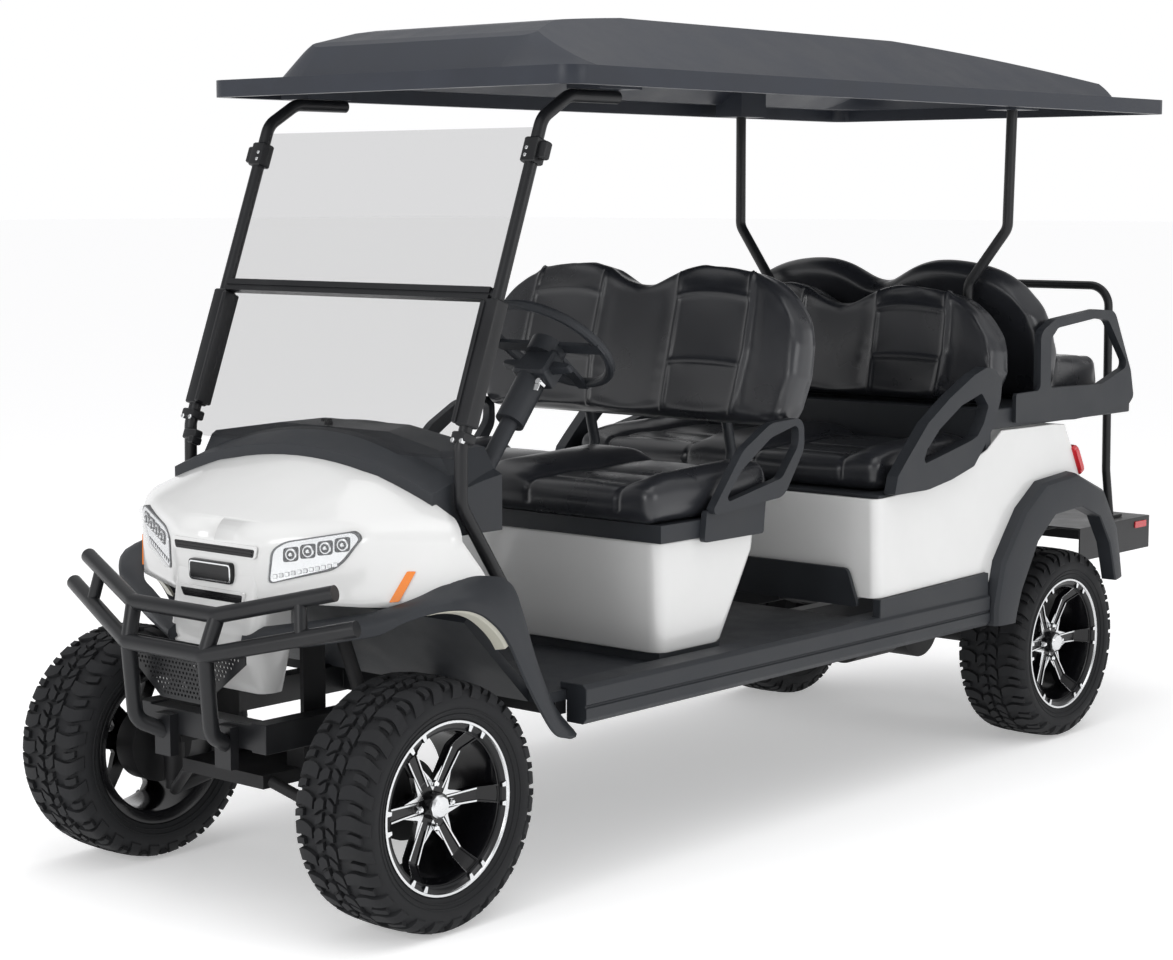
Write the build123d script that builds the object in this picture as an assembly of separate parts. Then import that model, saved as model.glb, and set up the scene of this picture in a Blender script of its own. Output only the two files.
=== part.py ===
from build123d import *
import os
from math import atan2, cos, degrees, hypot, radians, sin, sqrt, tan

# Six-seat lifted golf cart.  All sizes in mm.
# Working frame: x to the vehicle's left, y rearward from the front axle, z up from the ground.
# Every node is moved at the end so that y = 0 is the middle of the overall length.

# ---------------------------------------------------------------- driving dimensions
wheelbase = 2728
length_front = 335          # front axle to the foremost tube of the brush guard
length_rear = 3560          # front axle to the rear edge of the footrest
clearance = 0.3             # seated pieces on different nodes stand this far apart

tyre_radius = 292
tyre_width = 230
track_half = 502            # centreline to the middle of a tyre
rim_seat_radius = 178
rim_lip_radius = 201
rim_lip_offset = 101        # tyre's middle to the lip plane
spoke_count = 6
kingpin_x = 360
wheel_bore = 14.2
wheel_sides = 48            # flats around a tyre and a barrel
spindle_radius = 14

rail_x = 205
rail_width = 50
rail_bottom = 395
rail_top = 464.7
rail_front = -215
rail_rear = 3080

floor_bottom = 465
floor_top = 490
floor_half = 555
floor_front = 378
floor_rear = 1742
toe_top = [(floor_front + 12, floor_top), (176, 700)]
sill_outer = 620
sill_bottom = 411
sill_top = 508
sill_front = 453
sill_rear = 2262

body_half = 600             # rear body, outside
deck_top = 1046
deck_rear = 3117
body_wall = 5
body_front = 1702
body_arch_radius = 452
cowl_wall = 5
cowl_half = 574
flare_outer = 625

pod_half = 520
pod_front = 850
pod_bottom = 516
pod_top = 799
pan_top = 845
front_back = (1417, 1046, 12.4)        # rear lower edge (y, z) and lean of the front backrest

seat_half = 530
tray_half = seat_half + 8
back_half = seat_half + 47
back_thick = 105
rear_seat_half = body_half - 45
handle_thick = 25
strut_x = 480
strut_radius = 16
post_radius = 16
roof_half = 638
roof_front = 383
roof_rear = 3240
roof_bottom = 1924
roof_rim = 44
roof_rise = 167              # crown's highest point above the rim
roof_wall = 6

footrest_half = 440
footrest_front = 3095
footrest_top = 598
footrest_skirt = 108
grab_x = 360
grab_y = 3400
grab_top = 1372

steer_centre = (280, 705, 1297)
steer_radius = 178
steer_tilt = 39             # steering axis from the vertical, degrees
column_radius = 22
steer_axis = Vector(0, sin(radians(steer_tilt)), cos(radians(steer_tilt)))

mid_y = (length_rear - length_front) / 2


# ---------------------------------------------------------------- helpers
def both(shape):
    """A left-hand piece and its mirror on the right-hand side."""
    return [shape, mirror(shape, about=Plane.YZ)]


def outline(points, radius):
    """A closed face from corner points, rounded by one radius or by a list of radii."""
    if radius == 0:
        return make_face(Polyline(*points, close=True))
    return make_face(FilletPolyline(*points, radius=radius, close=True))


def side_plate(points, x0, x1, radius=0):
    """Prism between x0 and x1 whose outline is given as (y, z) corners."""
    face = Plane.YZ.offset(x0) * outline(points, radius)
    return extrude(face, amount=x1 - x0, dir=(1, 0, 0))


def front_plate(points, y0, y1, radius=0):
    """Prism between y0 and y1 whose outline is given as (x, z) corners."""
    face = Plane.XZ.offset(-y0) * outline(points, radius)
    return extrude(face, amount=y1 - y0, dir=(0, 1, 0))


def plan_plate(points, z0, z1, radius=0):
    """Prism between z0 and z1 whose outline is given as (x, y) corners."""
    face = Plane.XY.offset(z0) * outline(points, radius)
    return extrude(face, amount=z1 - z0, dir=(0, 0, 1))


def block(x0, x1, y0, y1, z0, z1):
    """Box between two opposite corners."""
    middle = ((x0 + x1) / 2, (y0 + y1) / 2, (z0 + z1) / 2)
    return Pos(*middle) * Box(abs(x1 - x0), abs(y1 - y0), abs(z1 - z0))


def tube(points, radius, bend, closed=False):
    """Round bar along straight runs, with a bend of one radius at each corner."""
    corners = [Vector(*point) for point in points]
    around = [corners[-1], *corners, corners[0]] if closed else corners
    bends, ends = [], []
    for before, corner, after in zip(around, around[1:], around[2:]):
        way_in, way_out = (corner - before).normalized(), (after - corner).normalized()
        turn = way_in.get_angle(way_out)
        reach = bend * tan(radians(turn / 2))
        entry, leave = corner - way_in * reach, corner + way_out * reach
        normal = way_in.cross(way_out).normalized()
        section = Plane(origin=entry, z_dir=way_in) * Circle(radius)
        bends.append(revolve(section, axis=Axis(entry + normal.cross(way_in) * bend, normal), revolution_arc=turn))
        ends.append((entry, leave))
    starts, stops = [leave for _, leave in ends], [entry for entry, _ in ends]
    if closed:
        stops = stops[1:] + stops[:1]
    else:
        starts, stops = [corners[0]] + starts, stops + [corners[-1]]
    runs = [rod(start, stop, radius) for start, stop in zip(starts, stops)]
    return runs[0] + runs[1:] + bends


def rod(start, end, radius):
    """Straight round bar between two points."""
    run = Vector(*end) - Vector(*start)
    section = Plane(origin=start, z_dir=run) * Circle(radius)
    return extrude(section, amount=run.length, dir=run.normalized())


def turned(profile, x, y, z):
    """Solid of revolution about a lateral axis; profile corners are (x, radius)."""
    face = Plane.XZ * make_face(Polyline(*profile, close=True))
    return Pos(x, y, z) * revolve(face, axis=Axis.X)


def save(name, shapes):
    """Write one node, moved to the part's own origin."""
    shapes = shapes if isinstance(shapes, list) else [shapes]
    solids = [solid for shape in shapes for solid in shape.solids()]
    node = solids[0] if len(solids) == 1 else Compound(children=solids)
    export_step(node.moved(Location((0, -mid_y, 0))), f"parts/{name}.step")


# ---------------------------------------------------------------- wheels
def flatted(path):
    """Solid about the x axis with flats all round; path is a closed loop of (x, radius at the corners)."""
    turns = [radians(360 * index / wheel_sides - 90) for index in range(wheel_sides + 1)]
    faces = []
    for (x0, r0), (x1, r1) in zip(path, path[1:] + path[:1]):
        for a, b in zip(turns, turns[1:]):
            corners = [(x0, r0 * cos(a), r0 * sin(a)), (x1, r1 * cos(a), r1 * sin(a)),
                       (x1, r1 * cos(b), r1 * sin(b)), (x0, r0 * cos(b), r0 * sin(b))]
            faces.append(Face(Wire.make_polygon([Vector(*corner) for corner in corners], close=True)))
    return Solid(Shell(faces))


def tyre():
    """Low-profile tyre about the x axis, open inside."""
    half = tyre_width / 2
    shoulder = tyre_radius - 9
    bead = rim_seat_radius + clearance
    outside = [(-half + 23, bead), (-half + 18, rim_lip_radius + 2), (-half, 240), (-half + 11, shoulder)]
    inside = [(-half + 27, shoulder - 21), (-half + 40, bead)]
    profile = outside + [(0, tyre_radius)] + [(-x, r) for x, r in reversed(outside)]
    return flatted(profile + [(-x, r) for x, r in reversed(inside)] + inside)


def rim():
    """Wheel with paired spokes, a drop-centre barrel and a bored hub."""
    lip = rim_lip_offset
    barrel = flatted([(-lip, rim_lip_radius), (-lip + 9, rim_seat_radius), (lip - 9, rim_seat_radius),
                      (lip, rim_lip_radius), (lip, rim_lip_radius - 9), (lip - 11, 171), (66, 170), (-lip + 12, 170),
                      (-lip, rim_lip_radius - 4)])
    hub = turned([(28, wheel_bore), (28, 44), (66, 44), (71, 30), (71, 0), (46, 0), (46, wheel_bore)], 0, 0, 0)
    fork = 14                      # angle between the two bars of a pair at the barrel, half of it
    pitch = 360 / spoke_count
    bars = []
    for index in range(spoke_count):
        for side in (-1, 1):
            foot = radians(index * pitch + side * 9)
            head = radians(index * pitch + side * fork)
            start = Vector(0, 36 * cos(foot), 36 * sin(foot))
            end = Vector(0, 174 * cos(head), 174 * sin(head))
            across = (end - start).cross(Vector(1, 0, 0)).normalized()
            corners = [start - across * 9, end - across * 11, end + across * 11, start + across * 9]
            bars.append(side_plate([(p.Y, p.Z) for p in corners], 44, 64))
    return barrel + hub + bars


def wheels():
    """Four tyres and rims, each its own node."""
    one_tyre, one_rim = tyre(), rim()
    corners = [("front_left", 1, 0), ("front_right", -1, 0), ("rear_left", 1, wheelbase), ("rear_right", -1, wheelbase)]
    for name, side, y in corners:
        place = Pos(side * track_half, y, tyre_radius) * Rot(0, 0, 0 if side > 0 else 180)
        save(f"tyre_{name}", place * one_tyre)
        save(f"rim_{name}", place * one_rim)


# ---------------------------------------------------------------- running gear
arm_height = 200
knuckle_top = 380
rack_y = 110
rack_z = 345
subframe_half = 145


def knuckle(side):
    """Upright, spindle, brake drum and steering arm of one front wheel."""
    low = arm_height + 12 + clearance
    upright = Pos(side * kingpin_x, 0, (low + knuckle_top) / 2) * Cylinder(26, knuckle_top - low)
    end = track_half + 44
    spindle = rod((side * kingpin_x, 0, tyre_radius), (side * end, 0, tyre_radius), spindle_radius)
    drum = rod((side * 405, 0, tyre_radius), (side * 470, 0, tyre_radius), 95)
    arm = block(side * 330, side * 368, 0, rack_y + 14, 306, 322)
    return upright + spindle + drum + arm


def front_suspension():
    """Cross-member, lower arms, damper struts and rack housing."""
    low, high = 290, 322
    shapes = [block(-subframe_half, subframe_half, -150, 150, low, high)]
    for side in (-1, 1):
        inner = side * (subframe_half - 5)
        for y in (-125, 125):
            shapes.append(rod((inner, y, 306), (side * kingpin_x, 0, arm_height - 18), 14))
        shapes.append(Pos(side * kingpin_x, 0, arm_height) * Cylinder(24, 24))
        foot = Vector(side * kingpin_x, 0, knuckle_top + clearance)
        shapes.append(rod(foot, foot + Vector(0, 0, 60), 24))
        shapes.append(rod(foot + Vector(0, 0, 50), (side * 262, 0, 640), 17))
        shapes.append(block(side * 150, side * 290, -35, 35, 640, 652))
        shapes.append(block(side * 150, side * 162, -35, 35, 380, 652))
        shapes.append(block(side * 100, side * 162, -35, 35, high - 5, 384))
        shapes.append(block(side * 150, side * (rail_x - rail_width / 2 - clearance), -35, 35, 400, 455))
    housing = rod((-165, rack_y, rack_z), (165, rack_y, rack_z), 22)
    housing -= rod((-170, rack_y, rack_z), (170, rack_y, rack_z), 10.05)
    shapes += [housing, block(-90, 90, rack_y - 16, rack_y + 16, high - 4, rack_z - 16)]
    body = shapes[0]
    for shape in shapes[1:]:
        body += shape
    return body


def tie_rods():
    """Rack bar with a track rod to each side."""
    bar = rod((-300, rack_y, rack_z), (300, rack_y, rack_z), 10)
    for side in (-1, 1):
        bar += Pos(side * 318, rack_y, rack_z) * Cylinder(18, 30)
        bar += rod((side * 290, rack_y, rack_z), (side * 318, rack_y, rack_z), 12)
    return bar


def rear_axle():
    """Axle tube, differential case and brake drums."""
    end = track_half + 44
    body = rod((-end, wheelbase, tyre_radius), (end, wheelbase, tyre_radius), spindle_radius)
    body += rod((-400, wheelbase, tyre_radius), (400, wheelbase, tyre_radius), 36)
    body += Pos(0, wheelbase, tyre_radius) * Rot(0, 90, 0) * Cylinder(105, 150)
    for side in (-1, 1):
        body += rod((side * 398, wheelbase, tyre_radius), (side * 470, wheelbase, tyre_radius), 95)
    return body


def rear_suspension():
    """Leaf springs on hangers, with their axle clamps."""
    shapes = []
    for side in (-1, 1):
        x0, x1 = side * 262, side * 312
        top = tyre_radius + 36 + clearance
        leaf = side_plate([(2420, 390), (2560, 342), (2640, top), (2816, top), (2896, 342), (3036, 390),
                           (3036, 402), (2890, 354), (2810, top + 14), (2646, top + 14), (2566, 354), (2420, 402)],
                          x0, x1)
        leaf += block(x0, x1, 2690, 2766, top, top + 26)
        for y in (2420, 3036):
            leaf += rod((side * 255, y, 396), (side * 319, y, 396), 18)
            leaf += side_plate([(y - 18, 396), (y + 18, 396), (y + 26, 450), (y - 26, 450)],
                               side * (rail_x + rail_width / 2 + clearance), side * 262)
        shapes.append(leaf)
    return shapes


def frame_rails():
    """Ladder frame with outriggers under the floor."""
    body = None
    for side in (-1, 1):
        rail = block(side * (rail_x - rail_width / 2), side * (rail_x + rail_width / 2), rail_front, rail_rear,
                     rail_bottom, rail_top)
        body = rail if body is None else body + rail
    inner = rail_x - rail_width / 2 + 1
    for y in (-190, 440, 860, 1300, 1735, 2330, 3050):
        body += block(-inner, inner, y - 25, y + 25, rail_bottom + 5, rail_top - 5)
    for y in (440, 860, 1735):
        body += block(-floor_half + 5, floor_half - 5, y - 20, y + 20, 430, rail_top)
    return body


def battery_pack():
    return block(-400, 400, 900, 1070, floor_top + clearance, 760)


def drive_motor():
    """Motor in front of the axle, flanged to the differential case."""
    front = wheelbase - 105 - clearance
    body = rod((0, front - 15, tyre_radius), (0, front, tyre_radius), 70)
    return body + rod((0, front - 230, tyre_radius), (0, front - 15, tyre_radius), 88)


# ---------------------------------------------------------------- floor and sills
def floor_pan():
    """Flat floor with a sloping toe board."""
    profile = [(floor_front, floor_bottom), (floor_rear, floor_bottom), (floor_rear, floor_top),
               toe_top[0], toe_top[1], (160, 684)]
    floor = side_plate(profile, -floor_half, floor_half)
    for side in (-1, 1):
        floor -= block(side * 500, side * 600, 100, floor_front - 0.01, 400, 720)
    return floor


def rocker_panels():
    """Sill mouldings with a raised lip and a groove along the side."""
    inner = floor_half - 20
    high = floor_top + clearance
    section = [(sill_outer - 12, sill_bottom), (sill_outer, sill_bottom + 14), (sill_outer, sill_top - 10),
               (sill_outer - 12, sill_top), (inner, sill_top), (inner, high), (floor_half + clearance, high),
               (floor_half + clearance, sill_bottom)]
    sill = front_plate(section, sill_front, sill_rear)
    sill -= block(sill_outer - 3, sill_outer + 1, sill_front - 1, sill_rear + 1, 452, 458)
    panel = side_plate([(body_front, sill_top - 10), (sill_rear, sill_top - 10), (sill_rear, 568.7), (body_front, 556.7)],
                       body_half - 15, sill_outer - 8)
    return both(sill + panel)


# ---------------------------------------------------------------- front body
def crown(drop, reach=660):
    """Bonnet top: arcs across the car, lofted along it.  Rows are (y, height at centre, height at reach)."""
    rows = [(-260, 835, 730), (-140, 912, 800), (95, 1047, 866), (480, 1118, 930)]
    faces = []
    for y, middle, edge in rows:
        top = ThreePointArc((-reach, edge - drop), (0, middle - drop), (reach, edge - drop))
        sides = Polyline((reach, edge - drop), (reach, 300), (-reach, 300), (-reach, edge - drop))
        faces.append(Plane.XZ.offset(-y) * make_face([top, sides]))
    return loft(faces)


cowl_plan = [(150, -160), (400, -55), (545, 70), (cowl_half, 230), (cowl_half, 420)]


def plan_outline(shift, rear):
    """Left and right halves of the bonnet's plan, moved inwards by shift."""
    half = []
    for x, y in cowl_plan:
        half.append((x - shift * (0.5 if y < -100 else 0.9), y + shift * (1.0 if y < 0 else 0.35)))
    half[-1] = (half[-1][0], rear)
    return half + [(-x, y) for x, y in reversed(half)]


cowl_low = 742
dash_half = 458


def cowl_shell(shift, low, rear):
    prism = plan_plate(plan_outline(shift, rear), low, 1300)
    return prism & crown(shift)


def nose(shift, low):
    """Shield that tapers down from the bonnet's front to the chin."""
    back = -60 - shift
    faces = []
    for z, half, front in ((low, 118, -118), (630, 152, -189), (905, 158, -141)):
        corners = [(-half + shift, front + shift), (half - shift, front + shift), (half - shift, back), (-half + shift, back)]
        faces.append(Plane.XY.offset(z) * make_face(Polyline(*corners, close=True)))
    return loft(faces, ruled=True)


nose_slots = [(836, 857, 116), (728, 748, 104)]       # (low, high, half width)


def behind_cowl(room):
    """Space behind the bonnet: under the dash, and further forward at the sides, where the struts pass."""
    side_forward = 88
    space = side_plate([(154, 1300), (154, 942), (312, 716), (520, 716), (520, 1300)], -dash_half, dash_half)
    corners = [(154 - side_forward, 1300), (154 - side_forward, 942), (312 - side_forward, 716), (520, 716), (520, 1300)]
    for side in (-1, 1):
        space += side_plate([(y + room, z) for y, z in corners], side * (dash_half - 1), side * 640)
    return space


def front_cowl():
    """White bonnet and nose shield, open below and behind."""
    outer = cowl_shell(0, cowl_low, 330) + nose(0, 505)
    inner = cowl_shell(cowl_wall, cowl_low - 1, 331) + nose(cowl_wall, 504)
    shell = outer - inner
    for z0, z1, half in nose_slots:
        shell -= block(-half, half, -230, -100, z0, z1)
    for side in (-1, 1):
        shell -= headlight_prism(side, 0, -300, 60)
    shell -= block(-dash_half - clearance, dash_half + clearance, 100 - clearance, 340, 880 - clearance, 1300)
    return shell - behind_cowl(0)


lamp_corners = [(200, 782), (372, 812), (410, 868), (395, 902), (222, 872)]


def headlight_prism(side, shrink, y0, y1):
    """Prism along the car with the lamp's outline, given as (x, z) corners."""
    middle_x = sum(x for x, z in lamp_corners) / len(lamp_corners)
    middle_z = sum(z for x, z in lamp_corners) / len(lamp_corners)
    corners = []
    for x, z in lamp_corners:
        away = hypot(x - middle_x, z - middle_z)
        keep = (away - shrink) / away
        corners.append((side * (middle_x + (x - middle_x) * keep), middle_z + (z - middle_z) * keep))
    return front_plate(corners, y0, y1)


def headlights():
    """Lamp blocks set into the bonnet's openings."""
    lamps = []
    for side in (-1, 1):
        skin = cowl_shell(-1, cowl_low, 330) - cowl_shell(60, cowl_low - 1, 331)
        lamps.append(skin & headlight_prism(side, 2, -300, 60))
    return lamps


def nose_insert():
    """Dark duct behind the nose, with a bar that fills each slot."""
    back = -122
    body = block(-130, 130, back, back + 22, 715, 870)
    for z0, z1, half in nose_slots:
        front = -141 - (905 - (z0 + z1) / 2) * 48 / 275 + 3
        body += block(-half + clearance, half - clearance, front, back + 1, z0 + clearance, z1 - clearance)
    return body


def dashboard():
    """Black bow along the bonnet's rear edge, with the flat-topped dash pod and its two pockets behind it."""
    bow_rear, pod_front_y = 190, 180
    body = cowl_shell(-20, 880, 335) & block(-dash_half, dash_half, 100, bow_rear, 880, 1300)
    body += cowl_shell(8, 880, 335) & block(-dash_half, dash_half, 100, 335, 880, 1300)
    pod = front_plate([(-dash_half, 900), (dash_half, 900), (dash_half, 985), (400, 1075), (150, 1112), (-150, 1112),
                       (-400, 1075), (-dash_half, 985)], pod_front_y, 335)
    body += pod & side_plate([(pod_front_y, 900), (pod_front_y, 1066), (pod_front_y + 40, 1106), (335, 1112), (335, 900)],
                             -dash_half, dash_half)
    body -= block(-440, 440, 112, 323, 800, 985)
    for side in (-1, 1):
        body -= block(side * 60, side * 225, 240, 345, 995, 1040)
    return body


def front_flares():
    """Arch mouldings over the front wheels, with the ledge that runs in to the nose."""
    cheek_points = [(-10, 790), (115, 806), (197, 795), (256, 772), (262, 728), (302, 625), (376, 495), (451, 402),
                    (420, 392), (361, 407), (317, 464), (245, 574), (188, 670), (133, 720), (78, 751), (-10, 754)]
    cheek = side_plate(cheek_points, cowl_half - 60, flare_outer)
    cheek -= block(0, floor_half + 3, floor_front - 60, floor_front + 200, 300, floor_top + 30)
    ledge = plan_plate(plan_outline(-48, 100), 600, 830)
    ledge &= front_plate([(120, 672), (230, 690), (320, 708), (442, 739), (528, 787), (566, 803), (625, 803), (625, 757),
                          (566, 752), (500, 727), (450, 695), (157, 632), (120, 625)], -300, 70)
    cut = cowl_shell(-clearance, 500, 520) - behind_cowl(clearance) + nose(-clearance, 480)
    return both((cheek + ledge) - cut)


def brush_guard():
    """Two swept bars, bent uprights, short posts and bolt plates."""
    bar = 19
    top = tube([(-439, -190, 790), (-148, -286, 720), (148, -286, 720), (439, -190, 790)], bar, 40)
    low = tube([(-504, -186, 717), (-137, -316, 630), (137, -316, 630), (504, -186, 717)], bar, 40)
    body = top + low
    for side in (-1, 1):
        body += tube([(side * 148, -286, 712), (side * 137, -312, 630), (side * 136, -296, 441),
                      (side * 110, rail_front - 11, 405)], bar, 45)
        body += rod((side * 356, -218, 768), (side * 372, -232, 690), 15)
        body += block(side * 80, side * 136, rail_front - 25, rail_front - clearance, 350, 450)
    return body


def nose_screen():
    """Stone guard between the uprights."""
    y = -266.3
    return front_plate([(-225, 640), (225, 640), (225, 612), (75, 500), (-75, 500), (-225, 612)], y - 2, y + 2)


# ---------------------------------------------------------------- windscreen and roof
screen_foot = (173, 1089)
screen_head = (455, 1850)
hinge_z = 1437              # bar between the two panes
hinge_y = screen_foot[0] + (hinge_z - screen_foot[1]) * (screen_head[0] - screen_foot[0]) / (screen_head[1] - screen_foot[1])
hinge_radius = 13


def strut_path(x):
    return [(x, 328, 727), (x, 171, 955), (x, *screen_foot), (x, *screen_head), (x, 550, 1905), (x, 728, 1905)]


def roof_struts():
    """Front roof struts and the bar that hinges the windscreen."""
    body = None
    for side in (-1, 1):
        strut = tube(strut_path(side * strut_x), strut_radius, 60)
        body = strut if body is None else body + strut
    return body + rod((-strut_x, hinge_y, hinge_z), (strut_x, hinge_y, hinge_z), hinge_radius)


def windscreen():
    """Lower and upper panes in the plane of the struts; the lower one stands on the dashboard's bow."""
    lean = degrees(atan2(screen_head[0] - screen_foot[0], screen_head[1] - screen_foot[1]))
    half = strut_x - strut_radius - clearance
    gap = hinge_radius + clearance
    panes = []
    for low, high in ((-400, -gap), (gap, 416)):
        pane = Pos(0, 0, (low + high) / 2) * Box(2 * half, 5, high - low)
        panes.append(Pos(0, hinge_y, hinge_z) * Rot(-lean, 0, 0) * pane)
    return [panes[0] - cowl_shell(-20 - clearance, 880, 400), panes[1]]


def roof_pad(inset):
    """Raised crown: a lengthwise arch crossed with a bowed top between sloping sides."""
    base = roof_bottom + roof_rim - 1 - (roof_wall if inset else 0)
    front, rear, half = roof_front + 62 + inset, roof_rear - 33 - inset, roof_half - 89 - inset
    middle = (roof_front + roof_rear) / 2
    top = roof_bottom + roof_rim + roof_rise - inset
    brow = [(front, base), (front + 35, top - 105), (front + 95, top - 73), (front + 195, top - 45), (front + 255, top - 36)]
    heel = (rear - 27, top - 125)
    arch = make_face([ThreePointArc(brow[-1], (middle - 243, top), heel), Polyline(heel, (rear, base), *brow)])
    lengthwise = extrude(Plane.YZ.offset(-roof_half) * arch, amount=2 * roof_half, dir=(1, 0, 0))
    slope, bow = tan(radians(31)), 18
    flat = half - (top - bow - base) / slope
    across = make_face([ThreePointArc((-flat, top - bow), (0, top), (flat, top - bow)),
                        Polyline((flat, top - bow), (half, base), (-half, base), (-flat, top - bow))])
    crosswise = extrude(Plane.XZ.offset(-roof_front) * across, amount=roof_rear - roof_front, dir=(0, 1, 0))
    plan = Plane.XY.offset(base) * Pos(0, (front + rear) / 2) * RectangleRounded(2 * half, rear - front, 200)
    return lengthwise & crosswise & extrude(plan, amount=250, taper=41)


def roof():
    """Moulded canopy: a rim with a raised, hollow crown."""
    middle = (roof_front + roof_rear) / 2
    rim_face = RectangleRounded(2 * roof_half, roof_rear - roof_front, 55)
    rim = extrude(Plane.XY.offset(roof_bottom) * Pos(0, middle) * rim_face, amount=roof_rim)
    well_face = RectangleRounded(2 * roof_half - 60, roof_rear - roof_front - 60, 40)
    well = extrude(Plane.XY.offset(roof_bottom - 1) * Pos(0, middle) * well_face, amount=roof_rim - roof_wall + 1)
    solid = rim + roof_pad(0)
    shell = solid - well - roof_pad(roof_wall)
    for side in (-1, 1):
        for y0, y1 in ((570, 728), (2450, 2580)):
            shell += block(side * 455, side * 560, y0, y1, roof_bottom - 3 + clearance, roof_bottom + 6)
            shell += block(side * 455, side * 560, y0, y1, roof_bottom, roof_bottom + 400) & solid
    return shell


def roof_posts():
    """Rear roof posts, cranked inboard between the seat backs."""
    posts = []
    for side in (-1, 1):
        path = [(side * 507, 2516, 1920.6), (side * 502, 2511, 1571), (side * 374, 2502, 1400), (side * 374, 2502, 1046)]
        posts.append(tube(path, post_radius, 50))
    return posts


# ---------------------------------------------------------------- front seat
def seat_pod():
    """White seat box, open above and below, its rear foot cut back."""
    profile = [(pod_front, pod_bottom), (1106, pod_bottom), (1241, 743), (1249, pod_top), (842, pod_top)]
    outer = side_plate(profile, -pod_half, pod_half)
    inner_profile = [(pod_front + 5, pod_bottom - 1), (1103, pod_bottom - 1), (1236, 743), (1244, pod_top + 1),
                     (847, pod_top + 1)]
    return outer - side_plate(inner_profile, -pod_half + 5, pod_half - 5)


def pod_plinth():
    """Dark foot of the seat box on the floor."""
    ring = block(-pod_half + 3, pod_half - 3, pod_front + 3, 1100, floor_top + clearance, pod_bottom - clearance)
    return ring - block(-pod_half + 30, pod_half - 30, pod_front + 30, 1076, floor_top - 1, pod_bottom + 1)


def seat_pan():
    """Tray under the front cushion, with the bent tubes and the plate that carry the backrest."""
    tray = block(-tray_half, tray_half, 832, 1262, pod_top + clearance, pan_top)
    place = Pos(0, *front_back[:2]) * Rot(-front_back[2], 0, 0)
    plate = place * block(-320, 320, clearance, 6, 60, 250)
    room = place * block(-400, 400, -200, clearance, -200, 600)
    for side in (-1, 1):
        x = side * 250
        tray += tube([(x, 1255, 822), (x, 1470, 836), (x, 1492, 960), (x, 1443, 1150)], 15, 50) - room
    return tray + plate


def cushion(front, rear, low, high, half):
    """Plain seat cushion with a rolled front edge that rises to its rear."""
    profile = [(front, low), (rear, low), (rear, high + 12), (front + 75, high), (front, high - 50)]
    return side_plate(profile, -half, half, [8, 8, 20, 60, 40])


def backrest(low_y, low_z, lean, height, valley, face_sign):
    """Two-hump backrest standing on its lower edge and leaning by lean degrees."""
    half, hump = back_half, 0.42 * back_half
    side = [(half - 47, 0), (half, 0.42 * height), (half - 22, height - 105), (0.72 * half, height - 12),
            (hump, height + 6), (0.19 * half, height - 34)]
    points = [(0, 0)] + side + [(0, height - valley)] + [(-x, z) for x, z in reversed(side)]
    radii = [0, 25, 90, 70, 90, 90, 50, 50, 50, 90, 90, 70, 90, 25]
    face = Plane.XZ * make_face(FilletPolyline(*points, radius=radii, close=True))
    body = extrude(face, amount=back_thick, dir=(0, face_sign, 0))
    return Pos(0, low_y, low_z) * Rot(-lean, 0, 0) * body


def moulding(outer, outer_radii, inner, inner_radii, x0, x1):
    """Moulded arm: a plate with a large opening, from (y, z) outlines."""
    return side_plate(outer, x0, x1, outer_radii) - side_plate(inner, x0 - 1, x1 + 1, inner_radii)


def front_restraints():
    """Hip restraints of the front seat on their side plates."""
    x = tray_half + 12
    arm = moulding([(985, 858), (1120, 1015), (1240, 1078), (1385, 1084), (1388, 1000), (1300, 880)],
                   [12, 100, 90, 34, 60, 60],
                   [(1040, 884), (1115, 965), (1240, 1040), (1362, 1068), (1362, 1012), (1290, 930)],
                   [10, 100, 100, 18, 50, 40], x, x + handle_thick)
    plate = side_plate([(985, 788), (1236, 788), (1245, 880), (995, 868)], tray_half + clearance, x + 6, 10)
    return both(arm + plate)


# ---------------------------------------------------------------- rear body
tail_line = [(2801, 813), (2752, 898), (2704, 975)]      # (y, z) of the body's sloping tail, upwards


def rear_body():
    """White rear body: sides, front wall and sloping tail, open above and below, arches cut."""
    profile = [(body_front, 557), (sill_rear, 569), (2300, 520), (3000, 520), *tail_line, (2645, 980), (2340, 981),
               (2264, 932), (2189, 906), (2024, 865), (1912, 848), (1695, 835)]
    outer = side_plate(profile, -body_half, body_half)
    hollow = [(body_front + 6, 400), (3100, 400), (3100, 620), (2926, 620), (2796.5, 810.7), (2747.7, 895.5),
              (2626, 1090), (body_front + 6, 1100)]
    inner = side_plate(hollow, -body_half + body_wall, body_half - body_wall)
    arch = Pos(0, wheelbase, 320) * Rot(0, 90, 0) * Cylinder(body_arch_radius - 40, 1400)
    arch -= block(-360, 360, 2200, 3200, -200, 800)
    return outer - inner - arch


def rear_flares():
    """Faceted arch mouldings over the rear wheels."""
    outer = [(2262, 470), (2300, 600), (2420, 745), (2530, 815), (2718, 830), (2890, 765), (2980, 640), (3022, 475),
             (2955, 468), (2915, 590), (2850, 680), (2738, 722), (2580, 712), (2480, 640), (2390, 500), (2360, 411),
             (2262, 411)]
    cheek = side_plate(outer, body_half + clearance, body_half + 50)
    return both(cheek)


def seat_deck():
    """Black deck between and under the two rear seats."""
    high, half = deck_top, body_half - body_wall - clearance
    return side_plate([(1712, 800), (2290, 800), (2290, high - 60), (deck_rear, high - 60), (deck_rear, high),
                       (2262, high), (2262, 846), (1712, 846)], -half, half)


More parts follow.
